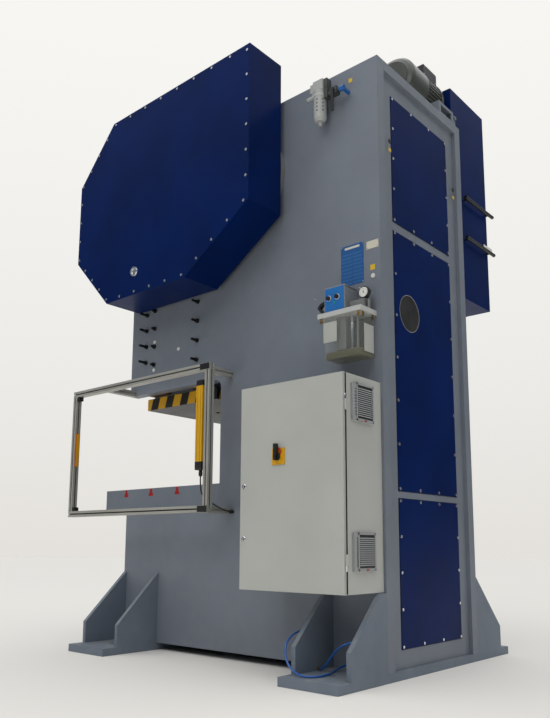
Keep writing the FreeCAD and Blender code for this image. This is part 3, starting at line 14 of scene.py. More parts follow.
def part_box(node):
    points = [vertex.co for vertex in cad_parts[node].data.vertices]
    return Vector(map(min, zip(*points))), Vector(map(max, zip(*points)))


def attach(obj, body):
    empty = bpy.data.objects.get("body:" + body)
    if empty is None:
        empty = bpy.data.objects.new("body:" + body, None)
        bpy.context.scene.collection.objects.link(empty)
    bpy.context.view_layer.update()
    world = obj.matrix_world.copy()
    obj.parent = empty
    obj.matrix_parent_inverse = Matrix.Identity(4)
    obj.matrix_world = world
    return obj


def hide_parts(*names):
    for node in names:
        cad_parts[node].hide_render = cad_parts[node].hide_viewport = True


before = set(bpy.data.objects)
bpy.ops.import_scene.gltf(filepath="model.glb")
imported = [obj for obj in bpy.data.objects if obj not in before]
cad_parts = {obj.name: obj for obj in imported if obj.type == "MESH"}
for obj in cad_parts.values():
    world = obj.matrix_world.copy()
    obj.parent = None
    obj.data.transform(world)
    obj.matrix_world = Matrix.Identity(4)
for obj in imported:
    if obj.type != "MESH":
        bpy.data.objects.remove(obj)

LOG = logging.getLogger("stamping_press")
Point = Sequence[float]
Socket = bpy.types.NodeSocket
Tree = bpy.types.NodeTree
TOLERANCE = 1e-6
SHARP_ANGLE = math.radians(34)
DUST_COLOUR = "a9a69c"


def turn_to(direction: Vector) -> Matrix:
    """The rotation that brings an upright piece onto a direction."""
    return Vector((0, 0, 1)).rotation_difference(direction).to_matrix().to_4x4()


class Axis(Enum):
    """A direction that a turned piece stands along."""

    X = "X"
    Y = "Y"
    Z = "Z"

    @property
    def vector(self) -> Vector:
        """The axis as a unit vector."""
        return Vector({"X": (1, 0, 0), "Y": (0, 1, 0), "Z": (0, 0, 1)}[self.value])

    @property
    def turn(self) -> Matrix:
        """The rotation that brings an upright piece onto this axis."""
        return turn_to(self.vector)


class Relief(Enum):
    """The fine relief of a surface: noise scale per axis and detail."""

    ORANGE_PEEL = ((260.0, 260.0, 260.0), 2.0)
    BRUSHED_UPRIGHT = ((900.0, 900.0, 12.0), 4.0)
    BRUSHED_LEVEL = ((12.0, 900.0, 900.0), 4.0)
    BRUSHED_DEEP = ((900.0, 14.0, 900.0), 4.0)
    CAST = ((140.0, 140.0, 140.0), 8.0)
    MOULDED = ((1400.0, 1400.0, 1400.0), 3.0)
    SMOOTH = ((30.0, 30.0, 30.0), 1.0)


def linear(code: str) -> tuple[float, float, float, float]:
    """Turns a hex colour into the linear values that shaders read.

    Args:
        code: The colour as six hex digits.

    Returns:
        Red, green, blue and full opacity.
    """
    parts = [int(code[i : i + 2], 16) / 255 for i in (0, 2, 4)]
    red, green, blue = (p / 12.92 if p <= 0.04045 else ((p + 0.055) / 1.055) ** 2.4 for p in parts)
    return red, green, blue, 1.0


class Effects:
    """The shader node groups that the finishes share, each built once."""

    def __init__(self) -> None:
        """Builds every group."""
        self.drift = self._drift()
        self.wear = self._wear()
        self.relief = self._relief()
        self.patchy = self._patchy()
        self.dust = self._dust()
        self.soft_edge = self._soft_edge()

    @staticmethod
    def _group(name: str, inputs: Sequence[tuple[str, str, object]], outputs: Sequence[tuple[str, str]]) -> tuple:
        """Starts a node group.

        Args:
            name: The group's name.
            inputs: Name, kind and default value of each input.
            outputs: Name and kind of each output.

        Returns:
            The group, its input node and its output node.
        """
        group = bpy.data.node_groups.new(name, "ShaderNodeTree")
        for label, kind, default in inputs:
            socket = group.interface.new_socket(label, in_out="INPUT", socket_type=f"NodeSocket{kind}")
            socket.default_value = default
        for label, kind in outputs:
            group.interface.new_socket(label, in_out="OUTPUT", socket_type=f"NodeSocket{kind}")
        return group, group.nodes.new("NodeGroupInput"), group.nodes.new("NodeGroupOutput")

    @staticmethod
    def _noise(group: Tree, detail: float = 3.0) -> bpy.types.Node:
        """A noise on object coordinates inside a group."""
        place = group.nodes.new("ShaderNodeTexCoord")
        noise = group.nodes.new("ShaderNodeTexNoise")
        noise.inputs["Detail"].default_value = detail
        group.links.new(place.outputs["Object"], noise.inputs["Vector"])
        return noise

    @staticmethod
    def remap(group: Tree, source: Socket, low: float, high: float,
               to_low: float = 0.0, to_high: float = 1.0) -> Socket:
        """A map range of a socket, and its output socket."""
        node = group.nodes.new("ShaderNodeMapRange")
        for label, number in (("From Min", low), ("From Max", high), ("To Min", to_low), ("To Max", to_high)):
            node.inputs[label].default_value = number
        group.links.new(source, node.inputs["Value"])
        return node.outputs[0]

    @staticmethod
    def calculate(group: Tree, operation: str, first: object, second: object) -> Socket:
        """A maths node of two sockets or numbers, and its output socket."""
        node = group.nodes.new("ShaderNodeMath")
        node.operation = operation
        for index, value in enumerate((first, second)):
            if isinstance(value, (int, float)):
                node.inputs[index].default_value = value
            else:
                group.links.new(value, node.inputs[index])
        return node.outputs[0]

    @staticmethod
    def blend(group: Tree, share: Socket, first: Socket,
             second: Socket) -> Socket:
        """A colour mix of two sockets, and its output socket."""
        node = group.nodes.new("ShaderNodeMix")
        node.data_type = "RGBA"
        group.links.new(share, node.inputs["Factor"])
        group.links.new(first, node.inputs[6])
        group.links.new(second, node.inputs[7])
        return node.outputs[2]

    def _drift(self) -> Tree:
        """Colour that drifts slowly between two shades over a surface."""
        group, start, end = self._group(
            "colour_drift", [("Colour", "Color", (1, 1, 1, 1)), ("Second", "Color", (1, 1, 1, 1)),
                             ("Scale", "Float", 2.0)],
            [("Colour", "Color")])
        noise = self._noise(group, 5.0)
        group.links.new(start.outputs["Scale"], noise.inputs["Scale"])
        share = self.remap(group, noise.outputs["Fac"], 0.35, 0.65)
        group.links.new(self.blend(group, share, start.outputs[0], start.outputs[1]), end.inputs[0])
        return group

    def _wear(self) -> Tree:
        """Chips and rubbed paint along edges."""
        group, start, end = self._group(
            "edge_wear", [("Colour", "Color", (1, 1, 1, 1)), ("Worn", "Color", (1, 1, 1, 1)),
                          ("Amount", "Float", 0.5)],
            [("Colour", "Color"), ("Mask", "Float")])
        rounded = group.nodes.new("ShaderNodeBevel")
        rounded.samples = 4
        rounded.inputs["Radius"].default_value = 0.005
        flat = group.nodes.new("ShaderNodeNewGeometry")
        turned = group.nodes.new("ShaderNodeVectorMath")
        turned.operation = "DOT_PRODUCT"
        group.links.new(rounded.outputs[0], turned.inputs[0])
        group.links.new(flat.outputs["True Normal"], turned.inputs[1])
        edge = self.remap(group, turned.outputs["Value"], 0.995, 0.86)
        noise = self._noise(group, 6.0)
        noise.inputs["Scale"].default_value = 38.0
        broken = self.remap(group, noise.outputs["Fac"], 0.5, 0.62)
        mask = self.calculate(group, "MULTIPLY", self.calculate(group, "MULTIPLY", edge, broken),
                              start.outputs["Amount"])
        group.links.new(self.blend(group, mask, start.outputs[0], start.outputs[1]), end.inputs[0])
        group.links.new(mask, end.inputs[1])
        return group

    def _relief(self) -> Tree:
        """Height of a fine relief, stretched as the surface was worked."""
        group, start, end = self._group(
            "fine_relief", [("Stretch", "Vector", (1, 1, 1)), ("Detail", "Float", 2.0)], [("Height", "Float")])
        place = group.nodes.new("ShaderNodeTexCoord")
        scaled = group.nodes.new("ShaderNodeVectorMath")
        scaled.operation = "MULTIPLY"
        noise = group.nodes.new("ShaderNodeTexNoise")
        noise.inputs["Scale"].default_value = 1.0
        group.links.new(place.outputs["Object"], scaled.inputs[0])
        group.links.new(start.outputs["Stretch"], scaled.inputs[1])
        group.links.new(scaled.outputs[0], noise.inputs["Vector"])
        group.links.new(start.outputs["Detail"], noise.inputs["Detail"])
        group.links.new(noise.outputs["Fac"], end.inputs[0])
        return group

    def _patchy(self) -> Tree:
        """Roughness that varies in patches and handling marks."""
        group, start, end = self._group(
            "patchy_gloss", [("Roughness", "Float", 0.4), ("Spread", "Float", 0.1), ("Mask", "Float", 0.0)],
            [("Roughness", "Float")])
        noise = self._noise(group, 6.0)
        noise.inputs["Scale"].default_value = 6.0
        centred = self.calculate(group, "SUBTRACT", noise.outputs["Fac"], 0.5)
        swing = self.calculate(group, "MULTIPLY", self.calculate(group, "MULTIPLY", centred, 2.0),
                               start.outputs["Spread"])
        total = self.calculate(group, "ADD", start.outputs["Roughness"], swing)
        worn = self.calculate(group, "MULTIPLY", start.outputs["Mask"], 0.15)
        group.links.new(self.calculate(group, "ADD", total, worn), end.inputs[0])
        return group

    def _dust(self) -> Tree:
        """Dust that settles on faces looking up, and a little everywhere."""
        group, start, end = self._group(
            "settled_dust", [("Colour", "Color", (1, 1, 1, 1)), ("Amount", "Float", 0.3)], [("Colour", "Color")])
        facing = group.nodes.new("ShaderNodeNewGeometry")
        parts = group.nodes.new("ShaderNodeSeparateXYZ")
        group.links.new(facing.outputs["Normal"], parts.inputs[0])
        upward = self.remap(group, parts.outputs["Z"], -0.2, 1.0, 0.12, 1.0)
        noise = self._noise(group, 7.0)
        noise.inputs["Scale"].default_value = 11.0
        cloud = self.remap(group, noise.outputs["Fac"], 0.35, 0.75)
        share = self.calculate(group, "MULTIPLY", self.calculate(group, "MULTIPLY", upward, cloud),
                               start.outputs["Amount"])
        pale = group.nodes.new("ShaderNodeRGB")
        pale.outputs[0].default_value = linear(DUST_COLOUR)
        group.links.new(self.blend(group, share, start.outputs[0], pale.outputs[0]), end.inputs[0])
        return group

    def _soft_edge(self) -> Tree:
        """A normal that rounds every sharp edge by a millimetre or two."""
        group, start, end = self._group("softened_edge", [("Radius", "Float", 0.002)], [("Normal", "Vector")])
        rounded = group.nodes.new("ShaderNodeBevel")
        rounded.samples = 4
        group.links.new(start.outputs[0], rounded.inputs["Radius"])
        group.links.new(rounded.outputs[0], end.inputs[0])
        return group


@dataclass(frozen=True)
class Finish:
    """A surface finish: two shades, gloss, relief, wear and dust."""

    name: str
    colour: str
    second: str
    roughness: float
    metallic: float = 0.0
    coat: float = 0.0
    specular: float = 0.5
    relief: Relief = Relief.ORANGE_PEEL
    depth: float = 0.0002
    worn: str = "4a4c4e"
    wear: float = 0.3
    dust: float = 0.2
    spread: float = 0.08
    drift: float = 2.5
    edge: float = 0.0015
    alpha: float = 1.0

    def build(self, effects: Effects) -> bpy.types.Material:
        """Makes the material, or returns the one already made.

        Args:
            effects: The shared node groups.

        Returns:
            The material.
        """
        made = bpy.data.materials.get(self.name)
        if made:
            return made
        material = bpy.data.materials.new(self.name)
        material.use_nodes = True
        tree = material.node_tree
        shader = tree.nodes["Principled BSDF"]
        shader.inputs["Metallic"].default_value = self.metallic
        shader.inputs["Coat Weight"].default_value = self.coat
        shader.inputs["Coat Roughness"].default_value = 0.15
        shader.inputs["Specular IOR Level"].default_value = self.specular
        shader.inputs["Alpha"].default_value = self.alpha
        drift = self._place(tree, effects.drift, Colour=linear(self.colour), Second=linear(self.second),
                            Scale=self.drift)
        wear = self._place(tree, effects.wear, Worn=linear(self.worn), Amount=self.wear)
        dust = self._place(tree, effects.dust, Amount=self.dust)
        relief = self._place(tree, effects.relief, Stretch=self.relief.value[0], Detail=self.relief.value[1])
        gloss = self._place(tree, effects.patchy, Roughness=self.roughness, Spread=self.spread)
        edge = self._place(tree, effects.soft_edge, Radius=self.edge)
        bump = tree.nodes.new("ShaderNodeBump")
        bump.inputs["Distance"].default_value = self.depth
        bump.inputs["Strength"].default_value = 1.0
        link = tree.links.new
        link(self.pattern(tree, drift.outputs["Colour"]), wear.inputs["Colour"])
        link(wear.outputs["Colour"], dust.inputs["Colour"])
        link(dust.outputs["Colour"], shader.inputs["Base Color"])
        link(wear.outputs["Mask"], gloss.inputs["Mask"])
        link(gloss.outputs["Roughness"], shader.inputs["Roughness"])
        link(relief.outputs["Height"], bump.inputs["Height"])
        link(edge.outputs["Normal"], bump.inputs["Normal"])
        link(bump.outputs["Normal"], shader.inputs["Normal"])
        return material

    def pattern(self, tree: Tree, colour: Socket) -> Socket:
        """The colour with any painted pattern over it: none here.

        Args:
            tree: The material's nodes.
            colour: The plain colour.

        Returns:
            The painted colour.
        """
        return colour

    @staticmethod
    def _place(tree: Tree, group: Tree, **values: object) -> bpy.types.Node:
        """Places a group in a material and sets its inputs."""
        node = tree.nodes.new("ShaderNodeGroup")
        node.node_tree = group
        for label, value in values.items():
            node.inputs[label].default_value = value
        return node


class Pattern:
    """Maths on a point of the surface, for finishes with a painted pattern."""

    def __init__(self, tree: Tree) -> None:
        """Reads the point and the way its face looks.

        Args:
            tree: The material's nodes.
        """
        self.tree = tree
        place = tree.nodes.new("ShaderNodeTexCoord")
        point = tree.nodes.new("ShaderNodeSeparateXYZ")
        facing = tree.nodes.new("ShaderNodeNewGeometry")
        normal = tree.nodes.new("ShaderNodeSeparateXYZ")
        tree.links.new(place.outputs["Object"], point.inputs[0])
        tree.links.new(facing.outputs["True Normal"], normal.inputs[0])
        self.point = {axis: point.outputs[axis] for axis in "XYZ"}
        self.normal = {axis: normal.outputs[axis] for axis in "XYZ"}

    def step(self, operation: str, first: object, second: object = 0.0) -> Socket:
        """One maths node of the pattern."""
        return Effects.calculate(self.tree, operation, first, second)

    def both(self, first: Socket, second: Socket) -> Socket:
        """Where both masks hold."""
        return self.step("MULTIPLY", first, second)

    def between(self, value: Socket, low: float, high: float) -> Socket:
        """Where a value lies between two numbers."""
        return self.both(self.step("GREATER_THAN", value, low), self.step("LESS_THAN", value, high))

    def paint(self, mask: Socket, below: Socket, over: object) -> Socket:
        """Lays a colour, or another socket's, over the one below where the mask holds.

        Args:
            mask: Where the new colour shows.
            below: The colour so far.
            over: A hex code or a colour socket.

        Returns:
            The painted colour.
        """
        if isinstance(over, str):
            node = self.tree.nodes.new("ShaderNodeRGB")
            node.outputs[0].default_value = linear(over)
            over = node.outputs[0]
        return Effects.blend(self.tree, mask, below, over)


@dataclass(frozen=True)
class HazardFinish(Finish):
    """The slide's finish: paint above, yellow and black stripes round the foot, painted shade on the faces that look
    down.
    """

    top: float = 1.89
    bottom: float = 1.8
    pitch: float = 0.17
    yellow: str = "d8a416"
    black: str = "141414"
    # Colour of the painted shade on the faces that look down.
    underside_shade: str = "1b1c18"

    def pattern(self, tree: Tree, colour: Socket) -> Socket:
        """Adds the stripes, and darkens the faces that look down as painted shade."""
        maths = Pattern(tree)
        level = maths.step("ADD", maths.step("ADD", maths.point["X"], self.pitch / 2),
                           maths.step("MULTIPLY", maths.point["Z"], 0.3))
        run = maths.step("SUBTRACT", level, maths.point["Y"])
        stripe = maths.step("GREATER_THAN", maths.step("FRACT", maths.step("DIVIDE", run, self.pitch)), 0.5)
        upright = maths.step("LESS_THAN", maths.step("ABSOLUTE", maths.normal["Z"]), 0.5)
        band = maths.both(upright, maths.between(maths.point["Z"], self.bottom, self.top))
        striped = maths.paint(stripe, maths.paint(band, colour, self.black), self.yellow)
        banded = maths.paint(band, colour, striped)
        # Painted shade: the faces that look down are darkened.
        return maths.paint(maths.step("LESS_THAN", maths.normal["Z"], -0.5), banded, self.underside_shade)


@dataclass(frozen=True)
class StrapFinish(Finish):
    """The pump's finish: cast metal, with a black strap in front of a given line."""

    strap_end: float = 0.858
    strap_foot: float = 2.1
    strap: str = "131415"

    def pattern(self, tree: Tree, colour: Socket) -> Socket:
        """Adds the strap's black."""
        maths = Pattern(tree)
        front = maths.step("LESS_THAN", maths.point["Y"], self.strap_end)
        return maths.paint(maths.both(front, maths.step("GREATER_THAN", maths.point["Z"], self.strap_foot)), colour,
                           self.strap)


@dataclass(frozen=True)
class AirUnitFinish(Finish):
    """The air unit's finish: pale head and bowl, dark valve, blue push-in outlet."""

    valve_start: float = 0.824
    outlet_start: float = 0.938
    dark: str = "3a403d"
    blue: str = "1c63ad"

    def pattern(self, tree: Tree, colour: Socket) -> Socket:
        """Adds the valve's and the outlet's colours."""
        maths = Pattern(tree)
        valve = maths.paint(maths.step("GREATER_THAN", maths.point["Y"], self.valve_start), colour, self.dark)
        return maths.paint(maths.step("GREATER_THAN", maths.point["Y"], self.outlet_start), valve, self.blue)


FRAME_PAINT = Finish("frame_grey_blue_paint", "7c848f", "767d88", 0.42, coat=0.05, specular=0.3, depth=0.00025,
                     worn="55585a", wear=0.35, dust=0.25, edge=0.003)
FOOT_PAINT = Finish("foot_grey_paint", "76818f", "6f7986", 0.5, specular=0.3, depth=0.0003, worn="4c4e50", wear=0.5,
                    dust=0.4, edge=0.003)
COVER_BLUE = Finish("cover_navy_paint", "02205a", "021b4e", 0.32, specular=0.06, depth=0.0004, worn="1b3b78",
                    wear=0.3,
                    dust=0.012, edge=0.003)
TIMER_BLUE = Finish("timer_bright_blue", "1a72bd", "1668ae", 0.35, coat=0.2, depth=0.0001, wear=0.1, dust=0.05)
CABINET_PAINT = Finish("cabinet_pale_grey", "c0c2bc", "babcb6", 0.36, coat=0.15, depth=0.00022, worn="8a8a86",
                       wear=0.12, dust=0.1)
MACHINED = Finish("machined_steel_grain", "8d8f90", "7e8081", 0.36, metallic=0.9, relief=Relief.BRUSHED_DEEP,
                  depth=0.00005, wear=0.2,
                  worn="b5b7b9", dust=0.1)
SLIDE_STEEL = HazardFinish("slide_paint_and_stripes", "71767b", "6a6f74", 0.45, metallic=0.1, depth=0.0002, wear=0.3,
                           dust=0.15)
DARK_STEEL = Finish("blackened_steel", "1c1d1f", "26272a", 0.42, metallic=0.7, relief=Relief.CAST, depth=0.0001,
                    wear=0.5, worn="6c6d6e", dust=0.1)
CAST_IRON = Finish("cast_iron", "45474a", "3a3c3f", 0.62, metallic=0.5, relief=Relief.CAST, depth=0.0006,
                   worn="7a7b7c", wear=0.4)
GREY_PLASTIC = Finish("grey_moulding", "8f9296", "888b8f", 0.5, relief=Relief.MOULDED, depth=0.00005, wear=0.05,
                      dust=0.15)
PALE_PLASTIC = Finish("pale_moulding", "c4c6c4", "bcbebc", 0.45, relief=Relief.MOULDED, depth=0.00005, wear=0.05,
                      dust=0.1)
LID_PLASTIC = StrapFinish("tank_lid_moulding", "c4c6c4", "bcbebc", 0.45, relief=Relief.MOULDED, depth=0.00005,
                          wear=0.05, dust=0.1, strap_foot=2.1245)
ZINC = Finish("bright_zinc", "d5d8dc", "c6c9cc", 0.25, metallic=0.95, relief=Relief.SMOOTH, depth=0.0001, wear=0.2,
              worn="909295", dust=0.05)
BLACK_PLASTIC = Finish("black_moulding", "101113", "16171a", 0.42, relief=Relief.MOULDED, depth=0.00006, wear=0.25,
                       worn="3a3b3d", dust=0.06)
CHROME = Finish("polished_chrome", "dcdfe2", "d2d5d8", 0.1, metallic=1.0, relief=Relief.SMOOTH, depth=0.00002,
                wear=0.1, spread=0.04, dust=0.03)
BRONZE = Finish("bearing_bronze", "8d6a35", "7b5a2b", 0.4, metallic=0.9, relief=Relief.BRUSHED_DEEP, depth=0.00004,
                wear=0.2, worn="c09a5c")
BRASS = Finish("fitting_brass", "b08c4a", "9c7a3e", 0.3, metallic=0.95, relief=Relief.SMOOTH, depth=0.00003, wear=0.3,
               worn="d8bd84", dust=0.05)
RUBBER = Finish("black_rubber_sheath", "0f1011", "151617", 0.6, relief=Relief.MOULDED, depth=0.0001, wear=0.05,
                dust=0.15)
MOTOR_PAINT = Finish("motor_olive_grey_paint", "4a4e48", "434740", 0.3, coat=0.3, depth=0.0002, worn="6c6d66",
                     wear=0.3, dust=0.15)
TERMINAL_BLACK = Finish("terminal_box_black", "1b1c1c", "202121", 0.35, coat=0.1, depth=0.0002, wear=0.2, dust=0.1)
SIGNAL_YELLOW = Finish("signal_yellow_paint", "e3ab08", "d9a208", 0.35, coat=0.25, depth=0.00012, worn="6a5a20",
                       wear=0.2, dust=0.08)
ALUMINIUM = Finish("anodised_aluminium", "c9c8bf", "bdbcb3", 0.36, metallic=0.55, relief=Relief.BRUSHED_DEEP,
                   depth=0.00004, wear=0.15,
                   worn="e0e0de", dust=0.08)
HOSE_BLUE = Finish("hose_blue", "1b62b8", "195aab", 0.3, coat=0.2, relief=Relief.SMOOTH, depth=0.00003, wear=0.0,
                   dust=0.1)
SIGNAL_RED = Finish("signal_red_paint", "b01418", "9f1216", 0.4, depth=0.0001, worn="4b1a1a", wear=0.2, dust=0.05)
ORANGE_LENS = Finish("orange_reflector", "d8521a", "c94814", 0.25, coat=0.4, relief=Relief.MOULDED, depth=0.0003,
                     wear=0.0)
PLATE_BLUE = Finish("info_plate_blue", "1f5c9c", "1b5592", 0.3, coat=0.3, relief=Relief.SMOOTH, depth=0.00002,
                    worn="c8cacc", wear=0.4, dust=0.05)
PLATE_PALE_BLUE = Finish("info_plate_pale_blue", "2c6bab", "2866a4", 0.32, coat=0.3, relief=Relief.SMOOTH,
                         depth=0.00002, wear=0.1, dust=0.05)
PLATE_CREAM = Finish("plate_cream", "dcd7c6", "d5d0be", 0.35, coat=0.2, relief=Relief.SMOOTH, depth=0.00002, wear=0.1,
                     dust=0.1)
PLATE_YELLOW = Finish("mark_yellow", "e6c21d", "dcb818", 0.4, relief=Relief.SMOOTH, depth=0.00002, wear=0.1,
                      dust=0.05)
WHITE_PLASTIC = Finish("white_moulding", "e9e8e2", "e2e1da", 0.4, relief=Relief.MOULDED, depth=0.00004, wear=0.05,
                       dust=0.1)
LABEL_GREY = Finish("label_pale_grey", "bfc0ba", "b6b7b0", 0.45, relief=Relief.SMOOTH, depth=0.00002, wear=0.05,
                    dust=0.1)
DIAL_WHITE = Finish("dial_white", "efeee8", "eae9e2", 0.35, relief=Relief.SMOOTH, depth=0.00001, wear=0.0, dust=0.03)
OIL = Finish("lubricating_oil", "5a542c", "504a25", 0.1, relief=Relief.SMOOTH, depth=0.00001, wear=0.0, dust=0.0)
# Painted shade: the colour of the shade seen inside the clear tank.
TANK_SHADE = Finish("tank_inside_shade", "6d706c", "646763", 0.4, relief=Relief.SMOOTH, depth=0.00001, wear=0.0,
                   dust=0.0)
GREY_SHEET = Finish("grey_sheet_metal", "9a9ea2", "91959a", 0.35, metallic=0.4, relief=Relief.BRUSHED_UPRIGHT,
                    depth=0.00003, wear=0.1, dust=0.1)
PUMP_METAL = StrapFinish("pump_castings", "8f9190", "858786", 0.45, metallic=0.4, relief=Relief.CAST, depth=0.0002,
                         wear=0.2, dust=0.1)
AIR_UNIT = AirUnitFinish("air_unit_mouldings", "b3b6b3", "a9aca9", 0.42, relief=Relief.MOULDED, depth=0.00006,
                         wear=0.15, dust=0.1)
GRILLE_PALE = Finish("grille_pale_moulding", "a3a6a6", "9b9e9e", 0.45, relief=Relief.MOULDED, depth=0.00005,
                     wear=0.05, dust=0.1)
GREEN_LED = Finish("green_lamp", "2fae48", "2aa342", 0.2, coat=0.3, relief=Relief.SMOOTH, depth=0.00001, wear=0.0)
CLEAR = Finish("clear_tank_wall", "c6cbc6", "bcc2bc", 0.08, relief=Relief.SMOOTH, depth=0.00003, wear=0.0, dust=0.02,
               alpha=0.1)
WELD = Finish("painted_weld", "848b93", "7d838b", 0.45, relief=Relief.CAST, depth=0.0004, worn="55585a", wear=0.4,
              dust=0.3)

CAD_FINISHES: dict[Finish, tuple[str, ...]] = {
    FRAME_PAINT: ("right_side_plate", "left_side_plate", "crown_plate", "cross_plates", "rear_wall", "motor_base",
                  "bolster"),
    FOOT_PAINT: ("front_foot", "rear_foot"),
    COVER_BLUE: ("rear_lower_cover", "rear_middle_cover", "rear_upper_cover", "gear_cover_shell", "gear_cover_face",
                 "flywheel_cover"),
    GREY_SHEET: ("timer_box",),
    MACHINED: ("cover_studs", "crankshaft", "pinion_shaft", "ball_screw"),
    SLIDE_STEEL: ("slide",),
    GREY_PLASTIC: ("vent_cap", "control_gear"),
    GRILLE_PALE: ("filter_grilles",),
    LID_PLASTIC: ("tank_lid",),
    ZINC: ("cover_screws",),
    BLACK_PLASTIC: ("cover_bars", "pressure_gauge", "switch_handle", "timer_knob_left", "timer_knob_right",
                    "valve_handle",
                    "guard_brackets", "cord_fittings"),
    CHROME: ("oil_sight_glass", "lock_upper", "lock_lower"),
    BRONZE: ("crank_bushes", "gibs"),
    DARK_STEEL: ("bull_gear", "gib_screws"),
    CAST_IRON: ("pinion_bearings", "clutch_brake", "flywheel", "motor_pulley", "connecting_rod"),
    RUBBER: ("v_belts",),
    MOTOR_PAINT: ("motor_body", "motor_cowl"),
    TERMINAL_BLACK: ("terminal_box",),
    CABINET_PAINT: ("cabinet_box", "cabinet_door"),
    SIGNAL_YELLOW: ("switch_plate", "light_curtain"),
    CLEAR: ("oil_tank",),
    ALUMINIUM: ("guard_frame",),
    PUMP_METAL: ("pump_unit",),
    AIR_UNIT: ("air_filter",),
}


class Piece:
    """One new piece: shapes gathered in a mesh, then given a name, a body and a finish."""

    def __init__(self) -> None:
        """Starts with nothing."""
        self.mesh = bmesh.new()

    def block(self, low: Point, high: Point, bevel: float = 0.0, segments: int = 2) -> "Piece":
        """Adds a block with its edges rounded.

        Args:
            low: Its lowest corner.
            high: Its highest corner.
            bevel: How far the edges are rounded.
            segments: Facets across each rounded edge.

        Returns:
            This piece.
        """
        low, high = Vector(low), Vector(high)
        matrix = Matrix.Translation((low + high) / 2) @ Matrix.Diagonal((*(high - low), 1.0))
        made = bmesh.ops.create_cube(self.mesh, size=1.0, matrix=matrix)
        if bevel:
            self._bevel((e for v in made["verts"] for e in v.link_edges), bevel, segments)
        return self

    def rod(self, axis: Axis, start: Point, radius: float, length: float, end_radius: float | None = None,
            bevel: float = 0.0, segments: int = 32) -> "Piece":
        """Adds a round bar, cone or polygon bar.

        Args:
            axis: The way it points.
            start: The middle of its first end.
            radius: Its radius there.
            length: Its length.
            end_radius: Its radius at the far end, where that differs.
            bevel: How far its rims are rounded.
            segments: Facets round it.

        Returns:
            This piece.
        """
        middle = Vector(start) + axis.vector * length / 2
        far = radius if end_radius is None else end_radius
        self.drum(Matrix.Translation(middle) @ axis.turn, radius, far, length, segments, bevel)
        return self

    def drum(self, matrix: Matrix, radius: float, end_radius: float, length: float, segments: int, bevel: float = 0.0,
             steps: int = 2) -> list[bmesh.types.BMVert]:
        """Adds a closed cone or cylinder that is upright in a given frame.

        Args:
            matrix: The frame, at the drum's middle.
            radius: Its radius at the first end.
            end_radius: Its radius at the far end.
            length: Its length.
            segments: Facets round it.
            bevel: How far its rims are rounded.
            steps: Facets across each rounded rim.

        Returns:
            Its vertices, as they were before any rounding.
        """
        verts = bmesh.ops.create_cone(self.mesh, cap_ends=True, segments=segments, radius1=radius, radius2=end_radius,
                                      depth=length, matrix=matrix)["verts"]
        if bevel:
            caps = dict.fromkeys(f for v in verts for f in v.link_faces if len(f.verts) == segments)
            self._bevel((e for f in caps for e in f.edges), bevel, steps)
        return verts

    def turned(self, axis: Axis, start: Point, profile: Sequence[tuple[float, float]], steps: int = 40) -> "Piece":
        """Spins a profile of (radius, distance along the axis) pairs into a closed shape.

        Args:
            axis: The axis of the turning.
            start: Where the axis starts.
            profile: The pairs, from one end to the other; a loop closes by repeating its first pair.
            steps: Facets round it.

        Returns:
            This piece.
        """
        matrix = Matrix.Translation(Vector(start)) @ axis.turn
        points = [self.mesh.verts.new(matrix @ Vector((radius, 0, along))) for radius, along in profile]
        edges = [self.mesh.edges.new(pair) for pair in zip(points, points[1:])]
        bmesh.ops.spin(self.mesh, geom=[*points, *edges], cent=Vector(start), axis=axis.vector, angle=math.tau,
                       steps=steps, use_merge=True)
        return self

    def outline(self, corners: Sequence[Point], along: Point) -> "Piece":
        """Extrudes a flat outline.

        Args:
            corners: The outline's corners in order.
            along: The extrusion, as a vector.

        Returns:
            This piece.
        """
        face = self.mesh.faces.new([self.mesh.verts.new(c) for c in corners])
        grown = bmesh.ops.extrude_face_region(self.mesh, geom=[face])["geom"]
        moved = [g for g in grown if isinstance(g, bmesh.types.BMVert)]
        bmesh.ops.translate(self.mesh, verts=moved, vec=Vector(along))
        return self

    def bead(self, start: Point, end: Point, radius: float = 0.005) -> "Piece":
        """Adds a weld bead: a rippled bar between two points.

        Args:
            start: One end.
            end: The other end.
            radius: The bead's radius.

        Returns:
            This piece.
        """
        start, end = Vector(start), Vector(end)
        run = end - start
        ripples = max(6, int(run.length / (radius * 2.2)))
        verts = self.drum(Matrix.Translation((start + end) / 2) @ turn_to(run.normalized()), radius, radius,
                          run.length, 8)
        sides = [e for e in dict.fromkeys(e for v in verts for e in v.link_edges)
                 if abs((e.verts[0].co - e.verts[1].co).length - run.length) < TOLERANCE]
        cut = bmesh.ops.subdivide_edges(self.mesh, edges=sides, cuts=ripples * 2 - 1, use_grid_fill=True)
        for vert in dict.fromkeys(g for g in cut["geom_inner"] if isinstance(g, bmesh.types.BMVert)):
            share = (vert.co - start).dot(run) / run.length_squared
            axis_point = start + run * share
            swell = 0.86 + 0.14 * math.cos(share * ripples * math.tau)
            vert.co = axis_point + (vert.co - axis_point) * swell
        return self

    def _bevel(self, edges: Iterable[bmesh.types.BMEdge], offset: float, segments: int) -> None:
        """Rounds some edges, each once and in the order given."""
        bmesh.ops.bevel(self.mesh, geom=list(dict.fromkeys(edges)), offset=offset, offset_type="OFFSET",
                        affect="EDGES", segments=segments,
                        profile=0.5, material=-1, clamp_overlap=True)

